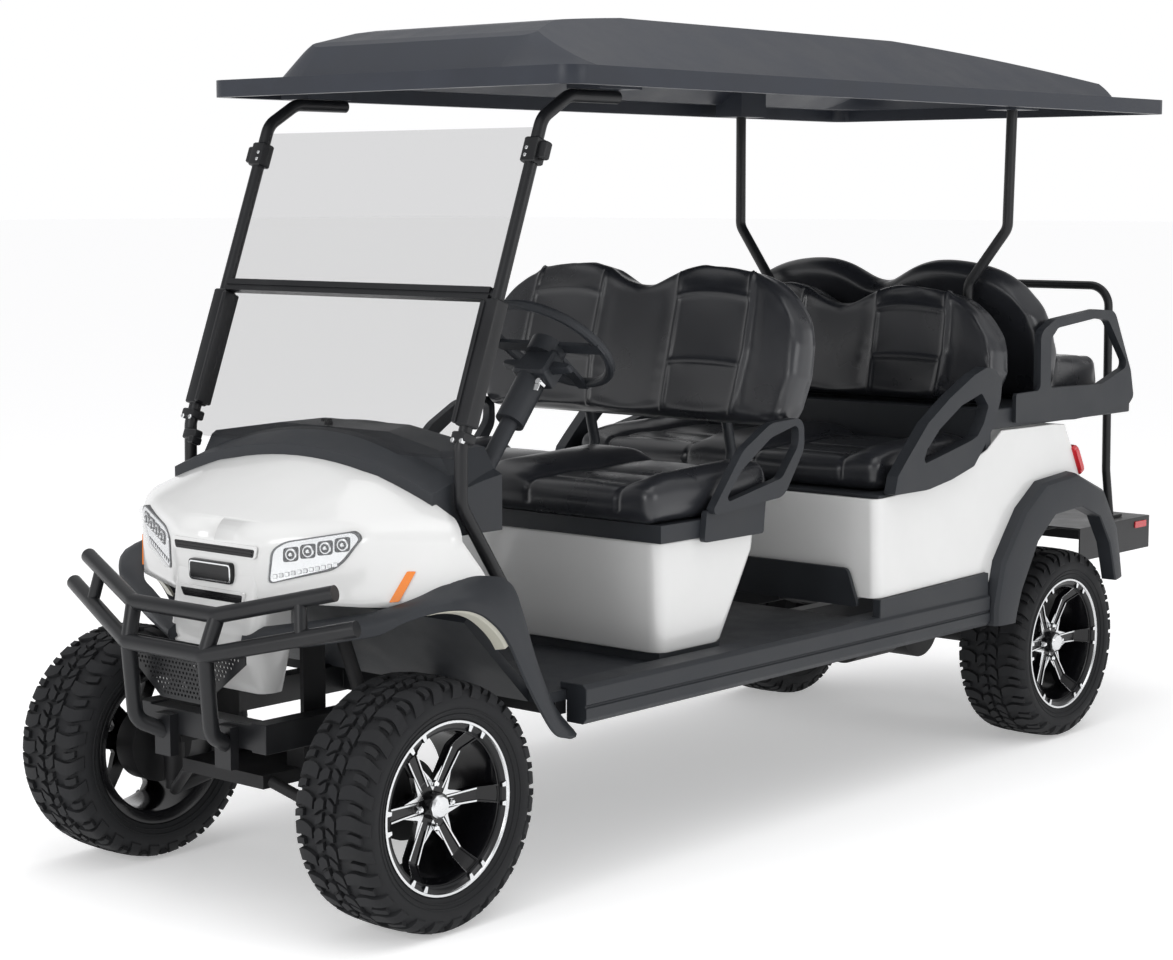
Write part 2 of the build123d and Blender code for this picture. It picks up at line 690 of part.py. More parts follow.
def middle_restraints():
    """Hip restraints of the middle seat, standing on the body's top edge."""
    x = body_half - body_wall
    outer = [(1735, 847), (1750, 898), (1791, 938), (1897, 1035), (2006, 1098), (2134, 1157), (2200, 1176), (2249, 1166),
             (2285, 1133), (2278, 1079), (2247, 1008), (2190, 944), (2141, 895), (2024, 866), (1912, 849), (1890, 847.3)]
    inner = [(1872, 920), (1894, 962), (1957, 1015), (2068, 1074), (2175, 1103), (2213, 1063), (2189, 1015),
             (2157, 981), (2124, 970), (2011, 947)]
    arm = moulding(outer, [6, 15, 15, 15, 15, 15, 15, 15, 15, 15, 15, 15, 10, 8, 0.5, 0.5], inner, 11, x, x + 37)
    return both(arm)


def rear_restraints():
    """Side panels of the rear seat, thicker round their arm openings."""
    x = body_half - body_wall
    outer = [(2404, 1000), (2404, 1086), (2543, 1088), (2540, 1262), (2624, 1299), (2870, 1320), (2985, 1312),
             (3095, 1120), (3117, 1036), (3090, 1014), (2904, 994), (2750, 987)]
    inner = [(2602, 1092), (2600, 1240), (2640, 1272), (2870, 1293), (2945, 1284), (3080, 1134), (3040, 1124),
             (2910, 1086)]
    radii = [8, 8, 20, 40, 60, 60, 50, 60, 20, 20, 60, 60], [14, 25, 25, 60, 40, 20, 20, 60]
    panel = moulding(outer, radii[0], inner, radii[1], x, x + 13)
    arm = moulding(outer, radii[0], inner, radii[1], x - 13, x + 1)
    return both(panel + (arm & block(x - 20, x + 10, 2545, 3200, deck_top + 4, 1400)))


def tail_lamps():
    """Lamps on the tail, their backs parallel to its slope."""
    lamp = side_plate([(2752.3, 898.2), (2801.3, 813.2), (2816.9, 822), (2767.9, 907)], body_half - 130, body_half - 2)
    return both(lamp)


# ---------------------------------------------------------------- rear step
def footrest():
    """Pressed footrest, skirted at the sides and the rear, on two bearers."""
    low = footrest_top - footrest_skirt
    body = block(-footrest_half, footrest_half, footrest_front, length_rear, low, footrest_top)
    body -= block(-footrest_half + 5, footrest_half - 5, footrest_front - 1, length_rear - 5, low - 1, footrest_top - 5)
    joint = rail_rear + clearance
    bearer = [(joint, 400), (joint, 459.7), (3130, 540), (3130, footrest_top - 2), (3500, footrest_top - 2),
              (3500, 560), (3160, 560), (3130, 500)]
    for side in (-1, 1):
        body += side_plate(bearer, side * (rail_x - 25), side * (rail_x + 25))
    return body


def grab_bar():
    low = footrest_top + clearance
    body = tube([(-grab_x, grab_y + 30, low + 5), (-grab_x, grab_y, 760), (-grab_x + 6, grab_y, grab_top),
                 (grab_x - 6, grab_y, grab_top), (grab_x, grab_y, 760), (grab_x, grab_y + 30, low + 5)], 14, 70)
    for side in (-1, 1):
        body += block(side * grab_x - 30, side * grab_x + 30, grab_y, grab_y + 60, low, low + 9)
    return body


# ---------------------------------------------------------------- controls
def steering_wheel():
    """Rim, three spokes and hub about the steering axis."""
    section = Plane.XZ * Pos(steer_radius - 13, 0) * RegularPolygon(13, 12)
    body = revolve(section, axis=Axis.Z) + Pos(0, 0, -22) * Cylinder(48, 40)
    for angle in (0, 90, 180):
        body += Rot(0, 0, angle) * (Pos(100, 0, -8) * Box(150, 34, 10))
    body += Pos(0, 0, -60) * Cylinder(16, 60)
    return Pos(*steer_centre) * Rot(-steer_tilt, 0, 0) * body


def toe_board_plane(x, along):
    """Plane on the toe board's upper face, with z away from it; along is measured up from its foot."""
    foot, head = Vector(x, *toe_top[0]), Vector(x, *toe_top[1])
    up = (head - foot).normalized()
    return Plane(origin=foot + up * along, x_dir=(1, 0, 0), z_dir=Vector(1, 0, 0).cross(up) * -1)


def steering_column():
    """Column shroud from the toe board up to the wheel."""
    board = toe_board_plane(steer_centre[0], 0)
    hub = Vector(*steer_centre)
    facing = board.z_dir.dot(steer_axis)
    drop = (hub - board.origin).dot(board.z_dir) - clearance - column_radius * sqrt(1 - facing ** 2)
    start = hub - steer_axis * 90.3
    body = rod(start, hub - steer_axis * (drop / facing), column_radius)
    return body + rod(start, start - steer_axis * 150, 38)


def pedals():
    """Wide brake pedal and tall accelerator on short stalks off the toe board."""
    shapes = []
    for x, width, height in ((196, 92, 70), (345, 50, 130)):
        board = toe_board_plane(x, 170)
        shapes.append(board * (Pos(0, 0, 20 + clearance) * Box(16, 24, 40) + Pos(0, 0, 44) * Box(width, height, 10)))
    return shapes


def main():
    os.makedirs("parts", exist_ok=True)
    wheels()
    save("knuckle_left", knuckle(1))
    save("knuckle_right", knuckle(-1))
    save("front_suspension", front_suspension())
    save("tie_rods", tie_rods())
    save("rear_axle", [rear_axle()] + rear_suspension())
    save("frame_rails", frame_rails())
    save("battery_pack", battery_pack())
    save("drive_motor", drive_motor())
    save("floor_pan", [floor_pan(), pod_plinth()])
    save("rocker_panels", rocker_panels())
    save("front_cowl", front_cowl())
    save("headlights", headlights())
    save("dashboard", dashboard())
    save("wheel_flares", front_flares() + rear_flares())
    save("brush_guard", brush_guard())
    save("nose_screen", [nose_insert(), nose_screen()])
    save("roof_frame", [roof_struts()] + roof_posts())
    save("windscreen", windscreen())
    save("roof", roof())
    save("seat_pod", seat_pod())
    save("seat_pan", seat_pan())
    save("front_cushion", cushion(800, 1300, pan_top + clearance, 955, seat_half))
    save("middle_cushion", cushion(1758, 2250, pan_top + clearance + 1, 960, rear_seat_half))
    save("rear_cushion", mirror(cushion(-3035, -2744, deck_top + clearance, 1180, seat_half + 5), about=Plane.XZ))
    save("front_backrest", backrest(*front_back, 433, 76, -1))
    save("middle_backrest", backrest(2420, deck_top + 2 * clearance, 8, 350, 76, -1))
    save("rear_backrest", backrest(2640, deck_top + 2 * clearance, -14.6, 422, 77, 1))
    save("front_restraints", front_restraints())
    save("middle_restraints", middle_restraints())
    save("rear_restraints", rear_restraints())
    save("rear_body", rear_body())
    save("seat_deck", seat_deck())
    save("tail_lamps", tail_lamps())
    save("footrest", footrest())
    save("grab_bar", grab_bar())
    save("steering_wheel", steering_wheel())
    save("steering_column", [steering_column()] + pedals())


main()
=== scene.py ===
"""Looks of a lifted six-seat golf cart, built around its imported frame.

Blender's lengths are metres.  Outlines and tables are in millimetres, with y counted from the front axle.
"""
import bpy
import bmesh
from math import atan2, cos, exp, hypot, pi, radians, sin, tau
from mathutils import Matrix, Vector
from mathutils.bvhtree import BVHTree


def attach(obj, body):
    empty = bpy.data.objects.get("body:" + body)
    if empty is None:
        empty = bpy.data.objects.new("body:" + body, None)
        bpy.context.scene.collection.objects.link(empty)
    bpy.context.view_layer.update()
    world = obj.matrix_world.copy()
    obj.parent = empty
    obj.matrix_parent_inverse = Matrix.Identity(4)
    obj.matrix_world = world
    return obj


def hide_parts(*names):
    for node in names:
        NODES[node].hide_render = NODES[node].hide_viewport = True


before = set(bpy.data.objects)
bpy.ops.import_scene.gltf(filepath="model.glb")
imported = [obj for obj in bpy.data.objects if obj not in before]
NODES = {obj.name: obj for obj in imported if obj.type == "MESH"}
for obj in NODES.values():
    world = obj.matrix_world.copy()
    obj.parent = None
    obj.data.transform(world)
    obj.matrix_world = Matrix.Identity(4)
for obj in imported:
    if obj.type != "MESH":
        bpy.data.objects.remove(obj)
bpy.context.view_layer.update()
MM = 0.001
TRACK_HALF, WHEELBASE, WHEEL_Z, MID_Y = 0.502, 2.728, 0.292, 1.6125
SIDES = ((1, "left"), (-1, "right"))


# ---------------------------------------------------------------- materials
FINE_DETAIL = 6.0
BROAD_SCALE, BROAD_DETAIL, BROAD_LOW, BROAD_HIGH = 7.0, 4.0, 0.35, 0.65

# material name, colour, roughness, grains per metre, their depth, least and most roughness, further settings
FINISHES = {
    "white": ("white_paint", (0.74, 0.742, 0.735), 0.22, 260, 0.00005, 0.2, 0.26,
              dict(tint=0.012, Coat_Weight=0.6, Coat_Roughness=0.06)),
    "cream": ("cream_liner", (0.50, 0.49, 0.42), 0.4, 300, 0.0001, 0.35, 0.45, dict(tint=0.03)),
    "moulded": ("moulded_black", (0.019, 0.0215, 0.026), 0.46, 900, 0.00035, 0.44, 0.56,
                dict(tint=0.12, Specular_IOR_Level=0.38)),
    "roof": ("roof_charcoal", (0.024, 0.028, 0.038), 0.44, 500, 0.0002, 0.36, 0.46,
             dict(tint=0.1, Specular_IOR_Level=0.32)),
    "tube": ("powder_coat", (0.009, 0.0095, 0.011), 0.34, 1400, 0.0001, 0.32, 0.42,
             dict(tint=0.15, Specular_IOR_Level=0.36)),
    "running": ("running_gear", (0.010, 0.010, 0.011), 0.55, 500, 0.0003, 0.5, 0.65,
                dict(tint=0.25, Specular_IOR_Level=0.3)),
    "vinyl": ("seat_vinyl", (0.019, 0.0202, 0.024), 0.28, 900, 0.00002, 0.26, 0.34,
              dict(tint=0.1, cells=True, Specular_IOR_Level=0.6)),
    "thread": ("seat_thread", (0.03, 0.03, 0.032), 0.6, 2500, 0.0002, 0.55, 0.7, dict(tint=0.2)),
    "rubber": ("tyre_rubber", (0.0105, 0.0110, 0.0125), 0.66, 1200, 0.0002, 0.66, 0.8,
               dict(tint=0.15, Specular_IOR_Level=0.32)),
    "gloss_black": ("wheel_black", (0.004, 0.004, 0.005), 0.16, 900, 0.00003, 0.14, 0.22,
                    dict(Specular_IOR_Level=0.4)),
    "machined": ("machined_alloy", (0.72, 0.73, 0.74), 0.28, 1800, 0.00004, 0.18, 0.3,
                 dict(tint=0.05, Metallic=1.0)),
    "chrome": ("bright_metal", (0.75, 0.76, 0.77), 0.12, 1200, 0.00002, 0.08, 0.16, dict(Metallic=1.0)),
    "screen": ("screen_acrylic", (0.03, 0.03, 0.031), 0.08, 30, 0.00001, 0.03, 0.06,
               dict(Alpha=0.165, Specular_IOR_Level=0.12)),
    "lamp_dark": ("lamp_housing", (0.05, 0.052, 0.055), 0.3, 900, 0.0001, 0.24, 0.36, dict(tint=0.1)),
    "lamp_clear": ("small_lamps", (0.82, 0.83, 0.84), 0.15, 400, 0.0002, 0.1, 0.2,
                   dict(cells=True, Coat_Weight=0.5)),
    "cover": ("lamp_cover", (0.9, 0.92, 0.95), 0.04, 60, 0.00003, 0.03, 0.05, dict(Alpha=0.14)),
    "red": ("red_lens", (0.55, 0.012, 0.02), 0.15, 240, 0.0002, 0.12, 0.2,
            dict(tint=0.1, cells=True, Coat_Weight=0.6)),
    "orange": ("orange_lens", (0.85, 0.215, 0.003), 0.15, 240, 0.0002, 0.12, 0.2,
               dict(tint=0.1, cells=True, Coat_Weight=0.6)),
    "battery": ("battery_case", (0.03, 0.03, 0.032), 0.6, 600, 0.0003, 0.5, 0.65, dict(tint=0.2)),
}


def set_inputs(node, values):
    """Set a node's inputs from their names, written with low lines for spaces."""
    for socket, value in values.items():
        node.inputs[socket.replace("_", " ")].default_value = value


def new_material(name, colour, roughness, **sockets):
    """A Principled material; sockets holds further inputs by name."""
    made = bpy.data.materials.new(name)
    made.use_nodes = True
    set_inputs(made.node_tree.nodes["Principled BSDF"],
               dict(Base_Color=(*colour, 1), Roughness=roughness, **sockets))
    return made


def add_grain(made, scale, depth, rough_low, rough_high, tint, cells):
    """Fine relief, uneven roughness and a slight drift of colour, in the object's own metres."""
    tree = made.node_tree
    link = tree.links.new
    shader = tree.nodes["Principled BSDF"]

    def node(kind, **values):
        new = tree.nodes.new("ShaderNode" + kind)
        set_inputs(new, values)
        return new

    place = node("TexCoord")
    fine = node("TexVoronoi", Scale=scale) if cells else node("TexNoise", Scale=scale, Detail=FINE_DETAIL)
    link(place.outputs["Object"], fine.inputs["Vector"])
    bump = node("Bump", Distance=depth)
    link(fine.outputs[0], bump.inputs["Height"])
    link(bump.outputs["Normal"], shader.inputs["Normal"])
    broad = node("TexNoise", Scale=BROAD_SCALE, Detail=BROAD_DETAIL)
    link(place.outputs["Object"], broad.inputs["Vector"])
    rough = node("MapRange", From_Min=BROAD_LOW, From_Max=BROAD_HIGH, To_Min=rough_low, To_Max=rough_high)
    link(broad.outputs["Fac"], rough.inputs["Value"])
    link(rough.outputs["Result"], shader.inputs["Roughness"])
    if tint:
        colour = shader.inputs["Base Color"].default_value[:3]
        ramp = node("ValToRGB")
        for stop, share in zip(ramp.color_ramp.elements, (1 - tint, 1 + tint)):
            stop.color = (*[min(1, c * share) for c in colour], 1)
        ramp.color_ramp.elements[0].position = BROAD_LOW
        ramp.color_ramp.elements[1].position = BROAD_HIGH
        link(broad.outputs["Fac"], ramp.inputs["Fac"])
        link(ramp.outputs["Color"], shader.inputs["Base Color"])
    return made


def make_finish(name, colour, roughness, scale, depth, rough_low, rough_high, settings):
    """One material from its row of FINISHES."""
    sockets = dict(settings)
    tint, cells = sockets.pop("tint", 0.0), sockets.pop("cells", False)
    made = new_material(name, colour, roughness, **sockets)
    return add_grain(made, scale, depth, rough_low, rough_high, tint, cells)


FINISH = {key: make_finish(*row) for key, row in FINISHES.items()}
# the CAD nodes that no piece replaces
NODE_FINISH = {
    "moulded": ("floor_pan", "rocker_panels", "dashboard", "seat_pan", "front_restraints",
                "middle_restraints", "rear_restraints", "seat_deck", "steering_wheel", "steering_column"),
    "roof": ("roof",),
    "tube": ("frame_rails", "brush_guard", "roof_frame", "footrest", "grab_bar"),
    "running": ("knuckle_left", "knuckle_right", "front_suspension", "tie_rods", "rear_axle", "drive_motor"),
    "screen": ("windscreen",),
    "red": ("tail_lamps",),
    "battery": ("battery_pack",),
}
# edge radius in mm of the moulded, painted and forged nodes that stay in sight
SOFT_EDGES = {
    "roof": 9, "floor_pan": 4, "rocker_panels": 5, "dashboard": 7, "seat_pan": 4, "front_restraints": 11,
    "middle_restraints": 11, "rear_restraints": 11, "seat_deck": 4, "steering_column": 3, "frame_rails": 2,
    "footrest": 2, "rear_axle": 2, "front_suspension": 2, "knuckle_left": 2, "knuckle_right": 2,
}


def dress_nodes():
    """Give each CAD node that stays in sight its finish."""
    for finish, names in NODE_FINISH.items():
        for name in names:
            slots = NODES[name].data.materials
            slots.clear()
            slots.append(FINISH[finish])


def add_bevel(piece, radius, segments, angle):
    """Round the edges that are sharper than angle, in degrees, by a radius in mm."""
    bevel = piece.modifiers.new("Bevel", "BEVEL")
    bevel.width = radius * MM
    bevel.segments = segments
    bevel.limit_method = "ANGLE"
    bevel.angle_limit = radians(angle)


def soften_nodes():
    """Round the sharp edges of carried-over nodes with modifiers."""
    for name, radius in SOFT_EDGES.items():
        NODES[name].modifiers.new("Weld", "WELD").merge_threshold = 0.00005
        add_bevel(NODES[name], radius, 3, 24)


# ---------------------------------------------------------------- mesh helpers
def link_object(name, data):
    """A new object in the scene."""
    made = bpy.data.objects.new(name, data)
    bpy.context.scene.collection.objects.link(made)
    return made


def evaluated(thing):
    return thing.evaluated_get(bpy.context.evaluated_depsgraph_get())


def apply_modifiers(piece):
    finished = bpy.data.meshes.new_from_object(evaluated(piece))
    piece.modifiers.clear()
    piece.data = finished


def add_piece(name, verts, faces, finishes, replaced=(), smooth=35, picks=None, body="chassis"):
    """Link a mesh object; picks gives each face's index into finishes, smooth an angle in degrees or None."""
    mesh = bpy.data.meshes.new(name)
    mesh.from_pydata([tuple(v) for v in verts], [], faces)
    for finish in finishes:
        mesh.materials.append(FINISH[finish])
    if picks:
        mesh.polygons.foreach_set("material_index", picks)
    if smooth is not None:
        mesh.polygons.foreach_set("use_smooth", [True] * len(mesh.polygons))
        mesh.set_sharp_from_angle(angle=radians(smooth))
    piece = link_object(name, mesh)
    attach(piece, body)
    if replaced:
        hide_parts(*replaced)
    return piece


class Shape:
    """Collects vertices and faces of one mesh, with a finish index for each face."""

    def __init__(self):
        self.verts, self.faces, self.picks = [], [], []

    def add(self, verts, faces, picks=None):
        base = len(self.verts)
        self.verts += [Vector(v) for v in verts]
        self.faces += [tuple(base + i for i in face) for face in faces]
        self.picks += picks or [0] * len(faces)

    def rings(self, rings, pick=0, closed=True, caps=True, picks_across=None):
        """Skin through rings of equal length; picks_across gives a finish for each column."""
        count = len(rings[0])
        verts = [v for ring in rings for v in ring]
        faces, picks = [], []
        for row in range(len(rings) - 1):
            for col in range(count if closed else count - 1):
                nxt = (col + 1) % count
                faces.append((row * count + col, row * count + nxt,
                              (row + 1) * count + nxt, (row + 1) * count + col))
                picks.append(picks_across[col] if picks_across else pick)
        if caps and closed:
            faces.append(tuple(reversed(range(count))))
            faces.append(tuple((len(rings) - 1) * count + i for i in range(count)))
            picks += [pick, pick]
        self.add(verts, faces, picks)

    def lathe(self, profile, steps, pick=0, picks_along=None):
        """Turn a closed loop of (x, radius) in mm about the x axis."""
        verts = [Vector((x * MM, r * MM * cos(a), r * MM * sin(a)))
                 for a in (tau * k / steps for k in range(steps)) for x, r in profile]
        faces, picks, count = [], [], len(profile)
        for row in range(steps):
            for col in range(count):
                nxt, turn = (col + 1) % count, (row + 1) % steps
                faces.append((row * count + col, turn * count + col, turn * count + nxt, row * count + nxt))
                picks.append(picks_along[col] if picks_along else pick)
        self.add(verts, faces, picks)

    def slab(self, outline, frame_at, low, high, inset=0.0, pick=0, top_pick=None):
        """Prism of a flat outline: frame_at(u, v, w) places a point; the top is drawn in by inset."""
        count = len(outline)
        cu = sum(u for u, _ in outline) / count
        cv = sum(v for _, v in outline) / count
        rings = []
        for w, draw in ((low, 0), (high - inset, 0), (high, inset)) if inset else ((low, 0), (high, 0)):
            ring = []
            for u, v in outline:
                away = hypot(u - cu, v - cv) or 1
                keep = (away - draw) / away
                ring.append(frame_at(cu + (u - cu) * keep, cv + (v - cv) * keep, w))
            rings.append(ring)
        self.rings(rings, pick)
        if top_pick is not None:
            self.picks[-1] = top_pick

    def slabs(self, frame_at, *rows):
        """Rounded prisms on one plane, in rows of outline, corner, low, high, inset and finish."""
        for outline, corner, low, high, inset, pick in rows:
            self.slab(rounded(outline, corner), frame_at, low, high, inset, pick)

    def moved(self, place):
        self.verts = [place @ v for v in self.verts]
        return self

    def piece(self, name, finishes, slot, replaced=(), smooth=35, body="chassis"):
        return add_piece(name, self.verts, self.faces, finishes, replaced, smooth, self.picks, body)


def ramp_value(table, at, column=1):
    """Straight-line interpolation of a column between rows that start with their key."""
    if at <= table[0][0]:
        return table[0][column]
    for a, b in zip(table, table[1:]):
        if at <= b[0]:
            return a[column] + (b[column] - a[column]) * (at - a[0]) / (b[0] - a[0])
    return table[-1][column]


def ease(value):
    """Smooth step from 0 to 1."""
    value = max(0.0, min(1.0, value))
    return value * value * (3 - 2 * value)


def at_cal(x, y, z):
    """A point given in millimetres with y from the front axle."""
    return Vector((x * MM, y * MM - MID_Y, z * MM))


def on_plane(origin, across, up, side=1):
    """Placer of (u, v, w) millimetres on a plane; side -1 mirrors it to the other side of the cart."""
    across, up = Vector(across).normalized(), Vector(up).normalized()
    out = across.cross(up)
    origin = Vector(origin)

    def put(u, v, w):
        p = origin + across * u + up * v + out * w
        return at_cal(p.x * side, p.y, p.z)

    return put


def circle(cu, cv, radius, sides=20):
    return [(cu + radius * cos(a), cv + radius * sin(a)) for a in (tau * k / sides for k in range(sides))]


def wedge(low_half, low, top_half, top):
    """Four-cornered outline about u = 0, between two heights."""
    return [(-low_half, low), (low_half, low), (top_half, top), (-top_half, top)]


def rounded(outline, radius, steps=4):
    """Outline with each corner cut to a small arc."""
    result, count = [], len(outline)
    for i, corner in enumerate(outline):
        corner = Vector(corner)
        before, after = Vector(outline[i - 1]) - corner, Vector(outline[(i + 1) % count]) - corner
        reach = min(radius, before.length / 2.2, after.length / 2.2)
        a, b = corner + before.normalized() * reach, corner + after.normalized() * reach
        for k in range(steps + 1):
            t = k / steps
            result.append(tuple(a * (1 - t) ** 2 + corner * 2 * t * (1 - t) + b * t ** 2))
    return result


def shrunk(outline, by):
    """Outline drawn in toward its middle."""
    cu, cv = (sum(p[i] for p in outline) / len(outline) for i in (0, 1))
    result = []
    for u, v in outline:
        keep = 1 - by / hypot(u - cu, v - cv)
        result.append((cu + (u - cu) * keep, cv + (v - cv) * keep))
    return result


def curve_through(points, steps):
    """Catmull-Rom points through a list of vectors."""
    points = [Vector(p) for p in points]
    padded = [points[0] * 2 - points[1]] + points + [points[-1] * 2 - points[-2]]
    result = []
    for a, b, c, d in zip(padded, padded[1:], padded[2:], padded[3:]):
        for k in range(steps):
            t = k / steps
            result.append(0.5 * (2 * b + (c - a) * t + (2 * a - 5 * b + 4 * c - d) * t ** 2
                                 + (3 * b - a - 3 * c + d) * t ** 3))
    return result + [points[-1]]


# ---------------------------------------------------------------- wheels
TYRE_RADIUS = 292
PITCHES = 27            # lugs around the tyre
TYRE_SIDE = [(92, 178.3), (97, 203), (101, 205), (104, 212), (109, 222), (113.2, 236), (113.8, 249),
             (107, 260.5), (99.5, 270), (90, 276.5), (60, 280.5), (25, 281.8)]
SIDE_RIBS = ((228, 111.6), (216, 107.2))    # radius and distance off the middle
RIB_SECTION = ((-1.5, -2.2), (1.2, -1), (1.6, 1), (-0.5, 2.4))
# distance along the tread from its middle, then x and radius there
TREAD_TOP = [(0, 0, 292), (60, 60, 290.6), (92, 92, 286.5), (106, 104, 280), (120, 111, 268),
             (136, 114.4, 253)]
TREAD_FOOT = [(0, 0, 282), (60, 60, 280.5), (90, 90, 276.5), (104, 99, 270), (120, 106, 260),
              (136, 112.5, 249)]
# rows of (distance off the middle, start and end along the circumference), in mm
SHOULDER_LUG = [(40, 12, 36), (52, 4, 34), (66, 0, 32), (80, 0, 31), (92, 3, 33), (104, 8, 37), (112, 12, 41),
                (122, 15, 46), (131, 17, 50)]
SHOULDER_BAR = [(70, 41, 56), (84, 41, 57), (96, 44, 60), (106, 49, 64)]
MIDDLE_LUG = [(4, 6, 24), (14, 0, 27), (24, 4, 34), (33, 14, 42)]
MIDDLE_TOOTH = [(6, 33, 50), (16, 38, 58), (28, 47, 62)]
# each kind of lug with its shift, in pitches, on the left and on the right half of the tread
LUGS = ((SHOULDER_LUG, 0, 0.5), (SHOULDER_BAR, 0, 0.5), (MIDDLE_LUG, 0.1, 0.6), (MIDDLE_TOOTH, 0.1, 0.6))
LUG_FLARE = 1.5         # how much wider a lug's foot is on each flank


def tread_point(table, u, s):
    """A point of the tread from its distance off the middle and along the circumference, in mm."""
    x = ramp_value(table, abs(u)) * (-1 if u < 0 else 1)
    r = ramp_value(table, abs(u), 2)
    angle = s / TYRE_RADIUS
    return Vector((x * MM, r * MM * cos(angle), r * MM * sin(angle)))


def tyre_shape():
    """Carcass, tread lugs and the ribs of the side walls."""
    shape = Shape()
    shape.lathe(TYRE_SIDE + [(-x, r) for x, r in reversed(TYRE_SIDE)], 108)
    pitch = tau * TYRE_RADIUS / PITCHES
    for number in range(PITCHES):
        for rows, *shifts in LUGS:
            for flip, offset in zip((1, -1), shifts):
                start = (number + offset) * pitch
                rings = []
                for u, low, high in rows:
                    low, high = start + low, start + high
                    rings.append([tread_point(TREAD_FOOT, flip * u, low - LUG_FLARE),
                                  tread_point(TREAD_TOP, flip * u, low),
                                  tread_point(TREAD_TOP, flip * u, high),
                                  tread_point(TREAD_FOOT, flip * u, high + LUG_FLARE)])
                if flip > 0:
                    rings.reverse()
                shape.rings(rings)
    for radius, x in SIDE_RIBS:
        for turn in (1, -1):
            ring = [((x + u) * turn, radius + v) for u, v in RIB_SECTION]
            shape.lathe(ring if turn > 0 else ring[::-1], 108)
    return shape


# the rim's section as (x, radius), and which of its strips are machined bright
BARREL = [(-101, 201), (-92, 178), (90, 178), (97, 190), (99, 201), (101.5, 201), (101.8, 199.5),
          (101.8, 195.5), (100, 194.5), (95, 192), (92, 184), (86, 176), (60, 170), (-60, 170), (-89, 172),
          (-99, 193)]
BARREL_BRIGHT = range(4, 9)
BAR_ROWS = [(32, 13.5, 47), (60, 14.5, 49), (100, 16.0, 52), (138, 17.5, 56), (147, 18.5, 61),
            (166, 21, 79), (186, 25, 97)]      # radius, half width and face of a bar
BAR_DEPTH = 22
# radius and angle in degrees
WEB = [(34, -2), (58, -14.5), (94, -20.4), (72, -12), (59, -5), (55, 0), (59, 5), (72, 12), (94, 20.4),
       (58, 14.5), (34, 2)]
# the two machined tips at a bar's outer end: outline, and lean to either side in degrees
TIP, TIP_LEAN = [(179, -4.5), (196, -7.5), (196, 7.5), (179, 4.5)], 6.9
HUB = [(34, 20), (34, 60), (46, 62), (48, 58), (48, 33), (70, 31), (71, 27), (64, 24), (64, 20)]
HUB_CAP = [(64, 28.5), (73, 28.5), (78, 23.5), (79.5, 12), (79.8, 0.4), (62, 0.4)]
BARS, NUTS, NUT_CIRCLE, NUT_RADIUS = 6, 4, 51, 8.5
AXLES = (("front", 0), ("rear", WHEELBASE))


def on_face(angle):
    """Placer of (along the radius, across it, x) millimetres on the wheel's face."""
    return lambda r, t, x: Vector((x * MM, (r * cos(angle) - t * sin(angle)) * MM,
                                   (r * sin(angle) + t * cos(angle)) * MM))


def rim_shape():
    """Black wheel with six grooved bars; index 0 black, 1 machined, 2 bright."""
    shape = Shape()
    shape.lathe(BARREL, 96, picks_along=[int(i in BARREL_BRIGHT) for i in range(len(BARREL))])
    for number in range(BARS):
        middle = tau * (number + 0.5) / BARS + pi / BARS
        put = on_face(middle)
        rings = []
        for r, half, face in BAR_ROWS:
            back = face - BAR_DEPTH
            section = [(-half, back), (-half, face - 1.5), (-half + 0.8, face), (-half + 4.6, face),
                       (-half + 5.4, face - 3.5), (half - 5.4, face - 3.5), (half - 4.6, face),
                       (half - 0.8, face), (half, face - 1.5), (half, back)]
            rings.append([put(r, t, x) for t, x in section])
        shape.rings(rings[:4], picks_across=[int(col in (1, 2, 6, 7)) for col in range(10)])
        shape.rings(rings[3:], picks_across=[int(col in (1, 7)) for col in range(10)])
        outline = [(r * cos(radians(a)), r * sin(radians(a))) for r, a in WEB]
        shape.slab(outline, on_face(middle + pi / BARS), 34, 49.5, inset=0.9, top_pick=1)
        for lean in (-TIP_LEAN, TIP_LEAN):
            shape.slab(TIP, on_face(middle + radians(lean)), 84, 99.5, inset=1.2, top_pick=1)
    shape.lathe(HUB, 48)
    shape.lathe(HUB_CAP, 10, pick=1)
    nut = circle(NUT_CIRCLE, 0, NUT_RADIUS, 6)
    for number in range(NUTS):
        shape.slab(nut, on_face(tau * number / NUTS), 46, 66, inset=3.5, pick=2)
    return shape


def build_wheels():
    for name, side, y in [(f"{end}_{hand}", side, y) for end, y in AXLES for side, hand in SIDES]:
        place = Matrix.Translation((side * TRACK_HALF, y - MID_Y, WHEEL_Z))
        if side < 0:
            place = place @ Matrix.Rotation(pi, 4, "Z")
        tyre_shape().moved(place).piece(f"tread_{name}", ["rubber"], "tyre_rubber", (f"tyre_{name}",),
                                        body=f"{name}_wheel")
        rim_shape().moved(place).piece(f"wheel_{name}", ["gloss_black", "machined", "chrome"], "rim_alloy",
                                       (f"rim_{name}",), body=f"{name}_wheel")


# ---------------------------------------------------------------- seats
PRESSURE, FRAMES, SWELL_LIMIT = 4, 20, 0.009
PAD_CELL, PAD_FILL, HELD_WIDTH = 13.5, 0.75, 7
SEAM_DEPTH, SEAM_WIDTH = 6.5, 6.0
FAR = 99                                    # stands for "no seam near here"
STITCH_LENGTH, STITCH_THICK, STITCH_PITCH, LOOK_BACK = 0.0042, 0.0011, 0.0072, 0.25
